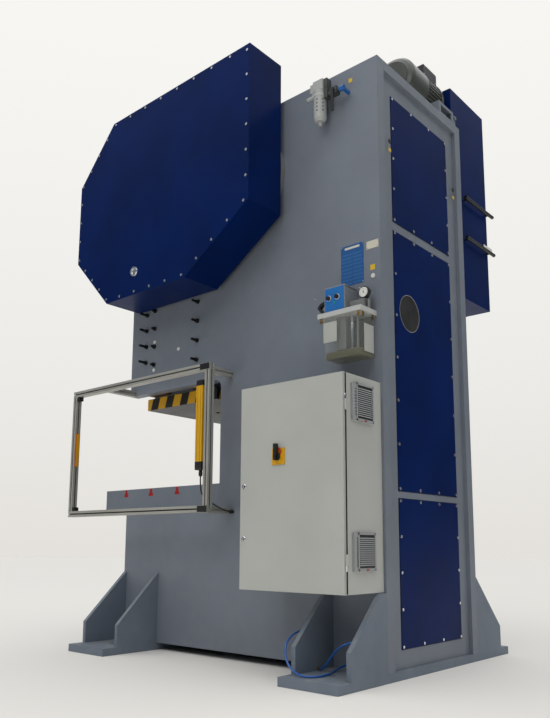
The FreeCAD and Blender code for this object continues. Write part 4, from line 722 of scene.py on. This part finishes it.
    def done(self, name: str, finish: Finish, effects: Effects, slot: str | None = None,
             body: str = "frame") -> bpy.types.Object:
        """Closes the mesh and hangs it on a body.

        Args:
            name: The piece's name.
            finish: Its finish.
            effects: The shared node groups.
            slot: The record's material slot for its finish; not used.
            body: The CAD body that it rides on.

        Returns:
            The object.
        """
        bmesh.ops.remove_doubles(self.mesh, verts=self.mesh.verts, dist=TOLERANCE)
        bmesh.ops.recalc_face_normals(self.mesh, faces=self.mesh.faces)
        data = bpy.data.meshes.new(name)
        self.mesh.to_mesh(data)
        self.mesh.free()
        made = bpy.data.objects.new(name, data)
        bpy.context.scene.collection.objects.link(made)
        made.data.materials.append(finish.build(effects))
        data.shade_smooth()
        data.set_sharp_from_angle(angle=SHARP_ANGLE)
        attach(made, body)
        LOG.info("%s: %d faces on %s", name, len(data.polygons), body)
        return made


@dataclass
class Studio:
    """A pale floor, a soft sky and the camera."""

    camera_place: Point = (4.104, 3.434, 0.744)
    yaw: float = 131.0
    pitch: float = 9.1
    roll: float = 0.3
    focal: float = 731.9
    centre_v: float = 428.2
    height: float = 718.0
    sensor: float = 36.0
    floor_reach: float = 40.0
    sky_strength: float = 1.45
    key_power: float = 90.0
    key_place: Point = (7.0, 1.5, 6.5)
    key_target: Point = (0.0, 0.0, 1.6)

    def build(self) -> None:
        """Makes the camera, the floor, the sky and the key light."""
        self.camera()
        self.floor()
        self.sky()
        self.key_light()
        bpy.context.scene.view_settings.view_transform = "Standard"

    def camera(self) -> None:
        """Stands the camera at the corner of the press, low down."""
        yaw, pitch, roll = (math.radians(a) for a in (self.yaw, self.pitch, self.roll))
        back = Vector((math.sin(yaw) * math.cos(pitch), -math.cos(yaw) * math.cos(pitch), -math.sin(pitch)))
        right = (-back).cross(Vector((0, 0, 1))).normalized()
        up = right.cross(-back)
        rolled_right = right * math.cos(roll) + up * math.sin(roll)
        rolled_up = up * math.cos(roll) - right * math.sin(roll)
        data = bpy.data.cameras.new("studio_camera")
        data.sensor_width = self.sensor
        data.lens = self.focal / self.height * self.sensor
        data.shift_y = (self.centre_v - self.height / 2) / self.height
        data.clip_start, data.clip_end = 0.05, 200.0
        camera = bpy.data.objects.new("studio_camera", data)
        bpy.context.scene.collection.objects.link(camera)
        camera.matrix_world = (Matrix.Translation(self.camera_place)
                               @ Matrix((rolled_right, rolled_up, back)).transposed().to_4x4())
        bpy.context.scene.camera = camera

    def floor(self) -> None:
        """Lays a wide pale floor."""
        mesh = bmesh.new()
        bmesh.ops.create_circle(mesh, cap_ends=True, segments=96, radius=self.floor_reach)
        data = bpy.data.meshes.new("studio_floor")
        mesh.to_mesh(data)
        mesh.free()
        floor = bpy.data.objects.new("studio_floor", data)
        bpy.context.scene.collection.objects.link(floor)
        material = bpy.data.materials.new("studio_floor")
        material.use_nodes = True
        shader = material.node_tree.nodes["Principled BSDF"]
        shader.inputs["Base Color"].default_value = linear("efece6")
        shader.inputs["Roughness"].default_value = 0.9
        shader.inputs["Specular IOR Level"].default_value = 0.0
        data.materials.append(material)

    def sky(self) -> None:
        """Lights the room softly from above; what the camera sees of it is a pale wall."""
        world = bpy.data.worlds.new("studio_sky")
        bpy.context.scene.world = world
        world.use_nodes = True
        tree = world.node_tree
        tree.nodes.clear()
        link = tree.links.new
        place = tree.nodes.new("ShaderNodeTexCoord")
        parts = tree.nodes.new("ShaderNodeSeparateXYZ")
        link(place.outputs["Generated"], parts.inputs[0])
        shades = []
        for stops in (((-0.1, "0"), (0.05, "3a3d42"), (0.45, "6b6f75"), (0.85, "ffffff")),
                      ((-0.1, "0"), (0.0, "e4e1dc"), (0.22, "ecebe7"), (0.6, "f7f6f2"))):
            ramp = tree.nodes.new("ShaderNodeValToRGB")
            spread = Effects.remap(tree, parts.outputs["Z"], -1.0, 1.0)
            link(spread, ramp.inputs["Fac"])
            while len(ramp.color_ramp.elements) < 3:
                ramp.color_ramp.elements.new(0.5)
            for element, (height, code) in zip(ramp.color_ramp.elements, stops[1:]):
                element.position = (height + 1) / 2
                element.color = linear(code)
            shades.append(ramp.outputs["Color"])
        light = tree.nodes.new("ShaderNodeBackground")
        light.inputs["Strength"].default_value = self.sky_strength
        seen = tree.nodes.new("ShaderNodeBackground")
        link(shades[0], light.inputs["Color"])
        link(shades[1], seen.inputs["Color"])
        path = tree.nodes.new("ShaderNodeLightPath")
        mix = tree.nodes.new("ShaderNodeMixShader")
        out = tree.nodes.new("ShaderNodeOutputWorld")
        link(path.outputs["Is Camera Ray"], mix.inputs["Fac"])
        link(light.outputs[0], mix.inputs[1])
        link(seen.outputs[0], mix.inputs[2])
        link(mix.outputs[0], out.inputs["Surface"])

    def key_light(self) -> None:
        """Hangs one large soft lamp behind the camera."""
        data = bpy.data.lights.new("studio_key", "AREA")
        data.shape = "RECTANGLE"
        data.size, data.size_y = 5.0, 3.0
        data.energy = self.key_power
        lamp = bpy.data.objects.new("studio_key", data)
        bpy.context.scene.collection.objects.link(lamp)
        place = Vector(self.key_place)
        lamp.location = place
        lamp.rotation_mode = "QUATERNION"
        lamp.rotation_quaternion = (place - Vector(self.key_target)).to_track_quat("Z", "Y")


@dataclass
class Cord:
    """A free cord: one smooth line through the points of its route."""

    name: str
    node: str
    route: Sequence[Point]
    diameter: float
    length: float
    far_end: str
    stiffness: str
    lay: str
    finish: Finish

    def build(self, effects: Effects, with_pieces: Sequence[bpy.types.Object] = ()) -> bpy.types.Object:
        """Args:
            effects: The shared node groups.
            with_pieces: The fittings on it; not used.

        Returns:
            The cord.
        """
        curve = bpy.data.curves.new(self.name, "CURVE")
        curve.dimensions = "3D"
        spline = curve.splines.new("NURBS")
        spline.points.add(len(self.route) - 1)
        for point, place in zip(spline.points, self.route):
            point.co = (*place, 1.0)
        spline.order_u = 3
        spline.use_endpoint_u = True
        spline.resolution_u = 16
        curve.bevel_depth = self.diameter / 2
        curve.bevel_resolution = 5
        curve.use_fill_caps = True
        made = bpy.data.objects.new(self.name, curve)
        bpy.context.scene.collection.objects.link(made)
        curve.materials.append(self.finish.build(effects))
        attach(made, "frame")
        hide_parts(self.node)
        LOG.info("%s: %.3f m", self.name, self.length)
        return made


@dataclass
class Cords:
    """The air hose on the floor and the light curtain's lead."""

    hose_route: Sequence[Point] = (
        (0.600, 0.705, 0.262), (0.740, 0.712, 0.268), (0.850, 0.722, 0.240), (0.912, 0.738, 0.185),
        (0.930, 0.766, 0.118),
        (0.948, 0.830, 0.072), (0.955, 0.910, 0.057), (0.900, 0.962, 0.0565), (0.800, 0.958, 0.0565),
        (0.690, 0.915, 0.057),
        (0.600, 0.915, 0.075), (0.574, 0.985, 0.120), (0.590, 1.060, 0.170), (0.650, 1.105, 0.220),
        (0.735, 1.098, 0.236),
        (0.765, 1.030, 0.215), (0.752, 0.960, 0.168), (0.735, 0.905, 0.110), (0.722, 0.862, 0.070),
        (0.706, 0.822, 0.057))
    lead_route: Sequence[Point] = (
        (0.8145, -0.070, 1.190), (0.8145, -0.070, 1.120), (0.806, -0.064, 1.070), (0.778, -0.046, 1.035),
        (0.735, -0.027, 1.010), (0.690, -0.022, 0.990), (0.640, -0.024, 0.975), (0.574, -0.028, 0.966))

    def build(self, effects: Effects) -> None:
        """Makes both cords with their fittings."""
        end = Vector(self.hose_route[-1])
        away = (end - Vector(self.hose_route[-2])).normalized()
        flat = Vector((away.x, away.y, 0)).normalized()
        fitting = Piece()
        for start, length, radius, sides in ((-0.012, 0.02, 0.0075, 24), (0.006, 0.012, 0.0085, 6),
                                             (0.016, 0.014, 0.0062, 24)):
            middle = end + flat * (start + length / 2) + Vector((0, 0, 0.0035))
            fitting.drum(Matrix.Translation(middle) @ turn_to(flat), radius, radius, length, sides, 0.0008)
        coupling = fitting.done("hose_coupling", BRASS, effects)
        Cord("air_hose_line", "air_hose", self.hose_route, 0.012, 1.60, "fitting", "medium", "loose",
             HOSE_BLUE).build(
            effects, [coupling])
        Cord("curtain_lead", "curtain_cable", self.lead_route, 0.009, 0.385, "object", "medium", "hanging",
             RUBBER).build(effects)


def paint_nodes(effects: Effects) -> None:
    """Gives every CAD node its finish."""
    for finish, nodes in CAD_FINISHES.items():
        material = finish.build(effects)
        for node in nodes:
            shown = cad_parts[node]
            for index in range(len(shown.material_slots)):
                shown.material_slots[index].material = material
            if not shown.material_slots:
                shown.data.materials.append(material)
            LOG.info("%s: %s", node, finish.name)


@dataclass
class WallPlates:
    """The plates, marks and plugs on the near side wall."""

    wall: float = 0.55
    info_low: Point = (0.885, 2.325)
    info_high: Point = (1.055, 2.587)
    strip_low: Point = (1.076, 2.524)
    strip_high: Point = (1.162, 2.574)
    thickness: float = 0.0015
    rivet: float = 0.004

    def plate(self, low: Point, high: Point, thickness: float) -> Piece:
        """A plate with rounded corners on the wall.

        Args:
            low: Its lowest Y and Z.
            high: Its highest Y and Z.
            thickness: Its thickness.

        Returns:
            The piece, not closed yet.
        """
        return Piece().block((self.wall, *low), (self.wall + thickness, *high), thickness * 0.4, 1)

    def build(self, effects: Effects) -> None:
        """Makes the plates, their rivets and the marks."""
        self.plate(self.info_low, self.info_high, self.thickness).done("info_plate", PLATE_BLUE, effects)
        border, face = 0.008, self.wall + self.thickness
        fields = Piece()
        columns = ((self.info_low[0] + border, self.info_low[0] + 0.082),
                   (self.info_low[0] + 0.09, self.info_high[0] - border))
        rows = 9
        pitch = (self.info_high[1] - self.info_low[1] - 0.05) / rows
        for index in range(rows):
            bottom = self.info_low[1] + border + pitch * index
            for low, high in columns:
                fields.block((face, low, bottom), (face + 0.0003, high, bottom + pitch * 0.45), 0.0001, 1)
        fields.done("info_plate_fields", PLATE_PALE_BLUE, effects)
        Piece().block((face, self.info_low[0] + 0.03, self.info_high[1] - 0.026),
                      (face + 0.0003, self.info_high[0] - 0.03, self.info_high[1] - 0.012),
                      0.0001, 1).done("info_plate_heading", PLATE_CREAM, effects)
        self.plate(self.strip_low, self.strip_high, self.thickness).done("cream_plate", PLATE_CREAM, effects)
        rivets = Piece()
        for low, high in ((self.info_low, self.info_high), (self.strip_low, self.strip_high)):
            for y in (low[0] + 0.007, high[0] - 0.007):
                for z in (low[1] + 0.007, high[1] - 0.007):
                    rivets.turned(Axis.X, (self.wall + self.thickness, y, z),
                                  ((0, 0), (self.rivet, 0), (self.rivet * 0.85, 0.0014), (self.rivet * 0.4, 0.0022),
                                   (0, 0.0024)), 12)
        rivets.done("plate_rivets", ZINC, effects)
        marks = Piece()
        for y, z, half in ((1.118, 2.404, 0.017), (0.972, 3.702, 0.014)):
            marks.block((self.wall, y - half, z - half), (self.wall + 0.0008, y + half, z + half), 0.0003, 1)
        marks.done("yellow_marks", PLATE_YELLOW, effects)
        plugs = Piece()
        for y, z in ((1.12, 2.349), (-0.9, 2.3), (-0.9, 2.08), (-0.62, 2.2)):
            plugs.turned(Axis.X, (self.wall, y, z), ((0, 0), (0.014, 0), (0.014, 0.004), (0.011, 0.007), (0, 0.008)),
                         24)
        plugs.done("wall_plugs", WHITE_PLASTIC, effects)


@dataclass
class FrameWelds:
    """Weld beads where the plates of the frame meet."""

    radius: float = 0.006
    plate: float = 0.075
    foot_top: float = 0.052
    foot_run: float = 0.3
    foot_margin: float = 0.002
    margin: float = 0.02

    def build(self, effects: Effects) -> None:
        """Runs the beads along the visible corners of the frame."""
        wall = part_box("right_side_plate")[1].x
        bolster_low, bolster_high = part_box("bolster")
        front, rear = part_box("front_foot")[0].y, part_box("rear_foot")[1].y
        crown_low, crown_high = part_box("crown_plate")
        beads = Piece()
        for side in (1, -1):
            x = wall * side
            inner = (wall - self.plate) * side
            for start, end in ((front + self.foot_margin, front + self.foot_run),
                               (rear - self.foot_run, rear - self.foot_margin)):
                beads.bead((x, start, self.foot_top), (x, end, self.foot_top), self.radius)
            for low, high, radius in ((bolster_low, bolster_high, self.radius * 0.8),
                                      (crown_low, crown_high, self.radius)):
                beads.bead((inner, low.y + self.margin, low.z), (inner, high.y - self.margin, low.z), radius)
        beads.done("frame_weld_beads", WELD, effects, "frame_paint")


@dataclass
class TSlotPlugs:
    """Red plugs in the ends of the bolster's T-slots."""

    centres: Sequence[float] = (-1.185, -0.890, -0.595, -0.300)
    neck: float = 0.014
    base: float = 0.025
    base_low: float = 1.107
    base_high: float = 1.131
    depth: float = 0.012
    gap: float = 0.0006

    def build(self, effects: Effects) -> None:
        """Makes a T-shaped plug for each end of each slot."""
        low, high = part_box("bolster")
        plugs = Piece()
        for centre in self.centres:
            for x in (high.x - self.depth - 0.001, low.x + 0.001):
                neck, base, gap = self.neck - self.gap, self.base - self.gap, self.gap
                corners = [(x, centre - base, self.base_low + gap), (x, centre + base, self.base_low + gap),
                           (x, centre + base, self.base_high - gap), (x, centre + neck, self.base_high - gap),
                           (x, centre + neck, high.z - 0.001), (x, centre - neck, high.z - 0.001),
                           (x, centre - neck, self.base_high - gap), (x, centre - base, self.base_high - gap)]
                plugs.outline(corners, (self.depth, 0, 0))
        plugs.done("t_slot_plugs", SIGNAL_RED, effects, "red_plastic")


@dataclass
class Lubricator:
    """What can be seen of the lubricator beyond its CAD solids."""

    wall_gap: float = 0.004
    oil_level: float = 0.045
    label_sheet: float = 0.0006

    def build(self, effects: Effects) -> None:
        """Makes what the tank holds, a sheet of painted shade inside it, its labels and clamps, the timer's seal,
        panel, lamp and dials, and the gauge.
        """
        low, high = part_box("oil_tank")
        timer_low, timer_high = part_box("timer_box")
        inset = self.wall_gap + 0.001
        Piece().block((low.x + inset, low.y + inset, low.z + inset),
                      (high.x - inset, high.y - inset, low.z + self.oil_level),
                      0.003).done("tank_oil", OIL, effects)
        tubes = Piece()
        top = high.z - 0.002
        for x, y, radius in ((0.62, 0.96, 0.016), (0.645, 1.03, 0.008), (0.6, 0.9, 0.006)):
            tubes.rod(Axis.Z, (x, y, low.z + 0.02), radius, top - low.z - 0.02, bevel=radius * 0.1)
        tubes.rod(Axis.Z, (0.62, 0.96, low.z + 0.012), 0.026, 0.03, bevel=0.003)
        tubes.done("tank_tubes", CHROME, effects, "chrome")
        Piece().turned(Axis.Z, (0.6, 0.901, low.z + 0.048),
                       ((0.008, 0), (0.017, 0.002), (0.018, 0.01), (0.017, 0.018), (0.008, 0.02), (0.008, 0)),
                       24).done(
            "tank_float", BLACK_PLASTIC, effects)
        # Painted shade: a grey sheet just inside the tank's back wall stands for the shade seen through the clear
        # tank.
        Piece().block((low.x + 0.006, low.y + 0.008, low.z + self.oil_level + 0.002),
                      (low.x + 0.008, high.y - 0.008, high.z - 0.003), 0.0005, 1).done(
            "tank_shade_sheet", TANK_SHADE, effects)
        rungs = Piece()
        for x, y in ((0.62, 0.985), (0.645, 1.03)):
            for index in range(12):
                rungs.turned(Axis.Z, (x, y, low.z + 0.04 + index * 0.018),
                             ((0.009, 0), (0.0135, 0.001), (0.0135, 0.006), (0.009, 0.007), (0.009, 0)), 20)
        rungs.done("tank_spring_rings", ZINC, effects)
        labels = Piece()
        labels.block((high.x, 0.862, 1.94), (high.x + self.label_sheet, 0.961, 2.064), 0.0002, 1)
        labels.block((0.569, high.y, 1.86), (0.669, high.y + self.label_sheet, 2.027), 0.0002, 1)
        labels.done("tank_labels", LABEL_GREY, effects)
        lid_low, lid_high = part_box("tank_lid")
        clamps = Piece()
        for y in (0.849, 1.116):
            clamps.block((high.x, y - 0.009, high.z - 0.03), (high.x + 0.004, y + 0.009, high.z - 0.001), 0.001)
            clamps.block((high.x + 0.001, y - 0.006, high.z - 0.02), (high.x + 0.008, y + 0.006, high.z - 0.008),
                         0.002)
        for x in (0.58, 0.68):
            clamps.block((x - 0.009, high.y, high.z - 0.03), (x + 0.009, high.y + 0.004, high.z - 0.001), 0.001)
        clamps.done("lid_clamps", BRASS, effects)
        screws = Piece()
        for y in (lid_low.y + 0.014, lid_high.y - 0.014):
            for x in (lid_low.x + 0.02, lid_high.x - 0.014):
                screws.turned(Axis.Z, (x, y, lid_high.z),
                              ((0, 0), (0.006, 0), (0.0055, 0.003), (0.003, 0.0045), (0, 0.005)), 20)
        screws.done("lid_screws", ZINC, effects, "zinc_screws")
        face = timer_high.x
        Piece().block((timer_low.x + 0.002, timer_low.y - 0.0015, timer_high.z - 0.012),
                      (face - 0.002, timer_high.y + 0.0015, timer_high.z - 0.009), 0.0005, 1).done(
            "timer_seal", BLACK_PLASTIC, effects)
        panel = Piece().block((face, timer_low.y + 0.005, timer_low.z + 0.005),
                              (face + 0.0006, timer_high.y - 0.005, timer_high.z - 0.007), 0.0002, 1)
        panel.done("timer_panel", TIMER_BLUE, effects, "blue_paint")
        lamp = Piece().turned(Axis.X, (face + 0.0006, 0.929, 2.187),
                              ((0, 0), (0.006, 0), (0.0055, 0.004), (0.003, 0.007), (0, 0.008)), 24)
        lamp.done("timer_lamp", GREEN_LED, effects)
        rings = Piece()
        for y in (0.888, 0.95):
            rings.turned(Axis.X, (face, y, 2.22),
                         ((0.0145, 0), (0.018, 0), (0.018, 0.0012), (0.0145, 0.0012), (0.0145, 0)), 36)
        rings.done("knob_dials", DIAL_WHITE, effects)
        self.dial(effects)

    def dial(self, effects: Effects) -> None:
        """Makes the pressure gauge's face, rim, scale and needle."""
        low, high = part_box("pressure_gauge")
        centre = Vector((high.x, (low.y + high.y) / 2, 2.228))
        radius = 0.036
        Piece().turned(Axis.X, centre, ((0, 0), (radius * 0.84, 0), (radius * 0.84, 0.0006), (0, 0.0006)), 48).done(
            "gauge_dial", DIAL_WHITE, effects)
        ticks = Piece()
        for index in range(21):
            angle = math.radians(-135 + index * 13.5)
            depth = 0.006 if index % 5 == 0 else 0.0035
            bmesh.ops.create_cube(ticks.mesh, size=1.0, matrix=Matrix.Translation(centre + Vector((0.0009, 0, 0)))
                                         @ Matrix.Rotation(angle, 4,
                                                           "X") @ Matrix.Translation((0, 0,
                                                                                      radius * 0.74 - depth / 2))
                                         @ Matrix.Diagonal((0.0006, 0.0008, depth, 1.0)))
        ticks.outline([centre + Vector((0.0012, y, z)) for y,
                       z in ((-0.0015, -0.006), (0.0015, -0.006), (0.0004, 0.024), (-0.0004, 0.024))],
                      (0.0006, 0, 0))
        ticks.turned(Axis.X, centre + Vector((0.0008, 0, 0)), ((0, 0), (0.004, 0), (0.003, 0.002), (0, 0.0022)), 20)
        ticks.done("gauge_scale", BLACK_PLASTIC, effects)


@dataclass
class AirUnit:
    """Dark discs of painted shade where the guard of the air unit's bowl has holes, and the bowl's collar."""

    axis: Point = (0.620, 0.780)
    radius: float = 0.042
    head: float = 3.665

    def build(self, effects: Effects) -> None:
        """Makes the dark discs of painted shade for the holes, and the collar."""
        # Painted shade: dark discs stand for the holes in the bowl's guard.
        holes = Piece()
        for angle in (8, 62, 118):
            for row in range(4):
                turn = math.radians(angle)
                centre = (self.axis[0] + self.radius * math.cos(turn), self.axis[1] + self.radius * math.sin(turn),
                          self.head - 0.07 - row * 0.026)
                matrix = Matrix.Translation(centre) @ Matrix.Rotation(turn, 4,
                                                                      "Z") @ Matrix.Rotation(math.pi / 2, 4, "Y")
                holes.drum(matrix, 0.0055, 0.0048, 0.0026, 16, 0.0004, 1)
        holes.done("bowl_hole_shades", RUBBER, effects)
        collar = Piece().turned(Axis.Z, (*self.axis, self.head - 0.044),
                                ((self.radius - 0.002, 0), (self.radius + 0.003, 0.001), (self.radius + 0.003, 0.013),
                                 (self.radius - 0.002, 0.014), (self.radius - 0.002, 0)), 48)
        collar.done("bowl_collar", PALE_PLASTIC, effects, "aluminium")


@dataclass
class Cabinet:
    """Grilles, door seal, hinges, cable glands, fixing ears and switch ring of the control cabinet."""

    slats: int = 14
    grilles: Sequence[tuple[float, float]] = ((1.425, 1.640), (0.610, 0.815))

    def build(self, effects: Effects) -> None:
        """Makes the parts in that order."""
        low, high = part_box("cabinet_box")
        door_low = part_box("cabinet_door")[0]
        middle = (low.x + high.x) / 2
        half = 0.085
        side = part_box("filter_grilles")[1].y
        frames, marks, backs = Piece(), Piece(), Piece()
        for bottom, top in self.grilles:
            frames.block((middle - half, side, bottom), (middle + half, side + 0.003, bottom + 0.012), 0.001, 1)
            frames.block((middle - half, side, top - 0.012), (middle + half, side + 0.003, top), 0.001, 1)
            for x in (middle - half, middle + half - 0.012):
                frames.block((x, side, bottom), (x + 0.012, side + 0.003, top), 0.001, 1)
            pitch = (top - bottom - 0.05) / self.slats
            for index in range(self.slats):
                z = bottom + 0.03 + pitch * index
                frames.outline([(middle - half + 0.014, side, z),
                                (middle - half + 0.014, side + 0.004, z - pitch * 0.3),
                                (middle - half + 0.014, side + 0.004, z - pitch * 0.15),
                                (middle - half + 0.014, side, z + pitch * 0.45)],
                               (half * 2 - 0.028, 0, 0))
            backs.block((middle - half + 0.012, side, bottom + 0.016),
                        (middle + half - 0.012, side + 0.0006, top - 0.012), 0.0002, 1)
            marks.block((middle - 0.011, side + 0.003, bottom + 0.0015),
                        (middle + 0.011, side + 0.0036, bottom + 0.0105), 0.0002, 1)
        frames.done("grille_slats", GRILLE_PALE, effects, "grey_plastic")
        backs.done("grille_shade", RUBBER, effects)
        marks.done("grille_marks", SIGNAL_RED, effects)
        seal = Piece()
        start, end, band = door_low.x - 0.002, door_low.x - 0.0002, 0.012
        for y in (low.y + 0.004, high.y - 0.004 - band):
            seal.block((start, y, low.z + 0.004), (end, y + band, high.z - 0.004), 0.0004, 1)
        for z in (low.z + 0.004, high.z - 0.004 - band):
            seal.block((start, low.y + 0.004, z), (end, high.y - 0.004, z + band), 0.0004, 1)
        seal.done("door_seal", RUBBER, effects)
        hinges = Piece()
        for z in (low.z + 0.15, high.z - 0.15):
            hinges.rod(Axis.Z, (door_low.x + 0.005, 1.163, z - 0.03), 0.005, 0.06, bevel=0.001, segments=20)
        hinges.done("hinge_barrels", CHROME, effects, "chrome")
        vents = Piece()
        for y in (low.y + 0.15, high.y - 0.15):
            vents.rod(Axis.Z, (middle, y, low.z - 0.006), 0.014, 0.006, bevel=0.001, segments=6)
            vents.rod(Axis.Z, (middle, y, low.z - 0.016), 0.010, 0.012, bevel=0.001)
        vents.done("cable_glands", BLACK_PLASTIC, effects)
        ears = Piece()
        for z in (low.z + 0.03, high.z - 0.05):
            ears.block((0.5505, low.y - 0.02, z), (0.556, low.y + 0.01, z + 0.03), 0.001)
        ears.done("cabinet_ears", ZINC, effects)
        plate_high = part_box("switch_plate")[1]
        switch_low, switch_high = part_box("switch_handle")
        centre = (switch_low + switch_high) / 2
        Piece().turned(Axis.X, (plate_high.x, centre.y, centre.z),
                       ((0.019, 0), (0.0285, 0), (0.0275, 0.004), (0.02, 0.005), (0.019, 0.005), (0.019, 0)),
                       48).done(
            "switch_ring", SIGNAL_RED, effects, "red_plastic", "door")


@dataclass
class Guard:
    """Slot inserts, end caps, corner bolts and the reflector of the guard."""

    profile: float = 0.045
    cap: float = 0.003
    reflector: tuple[float, float] = (1.345, 1.605)

    def build(self, effects: Effects) -> None:
        """Makes the inserts, the caps, the bolts and the reflector."""
        low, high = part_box("guard_frame")
        caps = Piece()
        for y in (low.y, high.y - self.profile):
            for z in (low.z + 0.001, high.z - 0.001 - self.cap):
                caps.block((high.x - self.profile + 0.001, y + 0.001, z),
                           (high.x - 0.001, y + self.profile - 0.001, z + self.cap), 0.001)
        bolts = Piece()
        for y in (low.y + self.profile / 2, high.y - self.profile / 2):
            for z in (low.z + self.profile / 2, high.z - self.profile / 2):
                bolts.turned(Axis.X, (high.x - 0.001, y, z),
                             ((0, -0.002), (0.0075, -0.002), (0.0075, 0.0008), (0.004, 0.0008), (0.004, -0.001),
                              (0, -0.001)), 24)
        inserts = Piece()
        half, slot, skin = self.profile / 2, 0.0048, 0.0115
        for z in (low.z + half, high.z - half):
            inserts.block((high.x - skin, low.y + 0.002, z - slot), (high.x - 0.004, high.y - self.profile, z + slot),
                          0.0005, 1)
            inserts.block((high.x - half - slot, low.y + 0.002, z - half + 0.004),
                          (high.x - half + slot, high.y - self.profile, z - half + skin), 0.0005, 1)
        for y in (low.y + half, high.y - half):
            inserts.block((high.x - skin, y - slot, low.z + self.profile),
                          (high.x - 0.004, y + slot, high.z - self.profile), 0.0005, 1)
            inserts.block((high.x - half - slot, y + half - skin, low.z + self.profile),
                          (high.x - half + slot, y + half - 0.004, high.z - self.profile), 0.0005, 1)
        inserts.done("slot_inserts", RUBBER, effects)
        caps.done("profile_caps", BLACK_PLASTIC, effects)
        bolts.done("corner_bolts", ZINC, effects)
        middle = high.x - self.profile / 2
        Piece().block((middle - 0.018, low.y + self.profile, self.reflector[0]),
                      (middle + 0.018, low.y + self.profile + 0.006, self.reflector[1]), 0.0015).done(
            "post_reflector", ORANGE_LENS, effects)


@dataclass
class LightCurtain:
    """Caps with their clips and plug, window and grooves of the light curtain's housing."""

    front: float = -0.100
    rear: float = -0.040
    bottom: float = 1.285
    lower_cap: float = 0.055
    upper_cap: float = 0.040
    skin: float = 0.0012

    def build(self, effects: Effects) -> None:
        """Makes the black caps, clips and plug, the dark window and the grooves."""
        low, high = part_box("light_curtain")
        top = high.z - self.upper_cap
        caps = Piece()
        for start, end in ((self.bottom - self.lower_cap - 0.001, self.bottom), (top, high.z + 0.001)):
            caps.block((low.x - self.skin, self.front - self.skin, start),
                       (high.x + self.skin, self.rear + self.skin, end), 0.004)
        middle = (low.x + high.x) / 2
        caps.rod(Axis.Z, (middle, -0.07, self.bottom - 0.097), 0.0118, 0.043, bevel=0.002)
        caps.rod(Axis.Z, (middle, -0.07, self.bottom - 0.085), 0.0135, 0.014, bevel=0.001, segments=18)
        for z in (self.bottom - 0.051, top + 0.002):
            caps.block((low.x + 0.010, self.rear, z), (high.x - 0.010, self.rear + 0.0155, z + 0.037), 0.002)
        caps.done("curtain_caps", BLACK_PLASTIC, effects)
        Piece().block((low.x + 0.010, self.front - 0.0008, self.bottom + 0.01),
                      (high.x - 0.010, self.front + 0.001, top - 0.01), 0.0003, 1).done(
            "curtain_window", DARK_STEEL, effects)
        grooves = Piece()
        for y in (self.front + 0.015, self.rear - 0.015):
            grooves.block((high.x - 0.0002, y - 0.0012, self.bottom + 0.002),
                          (high.x + 0.0003, y + 0.0012, top - 0.002), 0.0001, 1)
        grooves.done("housing_grooves", BRONZE, effects)


@dataclass
class Motor:
    """Terminal screws, lifting eye and cowl grille of the main motor."""

    axis: Point = (0.907, 4.044)
    radius: float = 0.175
    eye_x: float = -0.27

    def build(self, effects: Effects) -> None:
        """Makes the screws, the eye and the grille."""
        low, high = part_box("terminal_box")
        screws = Piece()
        for x in (low.x + 0.014, high.x - 0.014):
            for z in (low.z + 0.014, high.z - 0.014):
                screws.turned(Axis.Y, (x, high.y, z), ((0, 0), (0.005, 0), (0.0045, 0.003), (0, 0.0038)), 16)
        screws.done("terminal_screws", ZINC, effects)
        y, z = self.axis
        eye = Piece()
        eye.turned(Axis.Y, (self.eye_x, y - 0.008, z + self.radius + 0.010),
                   ((0.014, 0.0), (0.022, 0.0), (0.022, 0.014), (0.014, 0.014), (0.014, 0.0)), 28)
        eye.rod(Axis.Z, (self.eye_x, y, z + self.radius - 0.010), 0.011, 0.016, bevel=0.002)
        eye.done("lifting_eye", DARK_STEEL, effects)
        cowl_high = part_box("motor_cowl")[1]
        grille = Piece()
        for radius in (0.03, 0.055, 0.08, 0.105, 0.13):
            grille.turned(Axis.X, (cowl_high.x - 0.0035, y, z),
                          ((radius, 0), (radius + 0.005, 0), (radius + 0.005, 0.003), (radius, 0.003), (radius, 0)),
                          48)
        grille.done("cowl_grille", TERMINAL_BLACK, effects)


@dataclass
class Covers:
    """Gaskets of the rear covers, the plugged lifting holes with their marks, and the field on a grab bar."""

    rear: float = 1.175
    hole_x: float = 0.42

    def build(self, effects: Effects) -> None:
        """Makes the gaskets, the plugs, the marks and the field."""
        strips = Piece()
        for node in ("rear_lower_cover", "rear_middle_cover", "rear_upper_cover"):
            part_low, part_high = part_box(node)
            strips.block((part_low.x - 0.003, part_low.y + 0.0005, part_low.z - 0.003),
                         (part_high.x + 0.003, part_low.y + 0.0015, part_high.z + 0.003), 0.0004, 1)
        strips.done("cover_gaskets", RUBBER, effects)
        holes = Piece()
        marks = Piece()
        for side in (-1, 1):
            holes.turned(Axis.Y, (self.hole_x * side, self.rear - 0.0015, 3.26),
                         ((0, 0), (0.016, 0), (0.016, 0.0022), (0.013, 0.0026), (0, 0.0026)), 24)
            marks.block((self.hole_x * side - 0.014, self.rear, 3.19),
                        (self.hole_x * side + 0.014, self.rear + 0.0008, 3.212), 0.0003, 1)
        holes.done("lifting_hole_plugs", BLACK_PLASTIC, effects)
        marks.done("rear_marks", PLATE_YELLOW, effects)
        bar_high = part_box("cover_bars")[1]
        Piece().block((-1.069, bar_high.y - 0.0005, 3.0), (-0.921, bar_high.y + 0.0008, 3.02), 0.0003, 1).done(
            "bar_field", WHITE_PLASTIC, effects)


def main() -> None:
    """Builds the studio, the cords, the finishes and the fine parts in order."""
    logging.basicConfig(level=logging.INFO, format="%(name)s %(message)s")
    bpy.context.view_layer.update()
    effects = Effects()
    Studio().build()
    Cords().build(effects)
    paint_nodes(effects)
    for part in (WallPlates(), FrameWelds(), TSlotPlugs(), Lubricator(), AirUnit(), Cabinet(), Guard(),
                 LightCurtain(), Motor(), Covers()):
        part.build(effects)


if __name__ == "__main__":
    main()
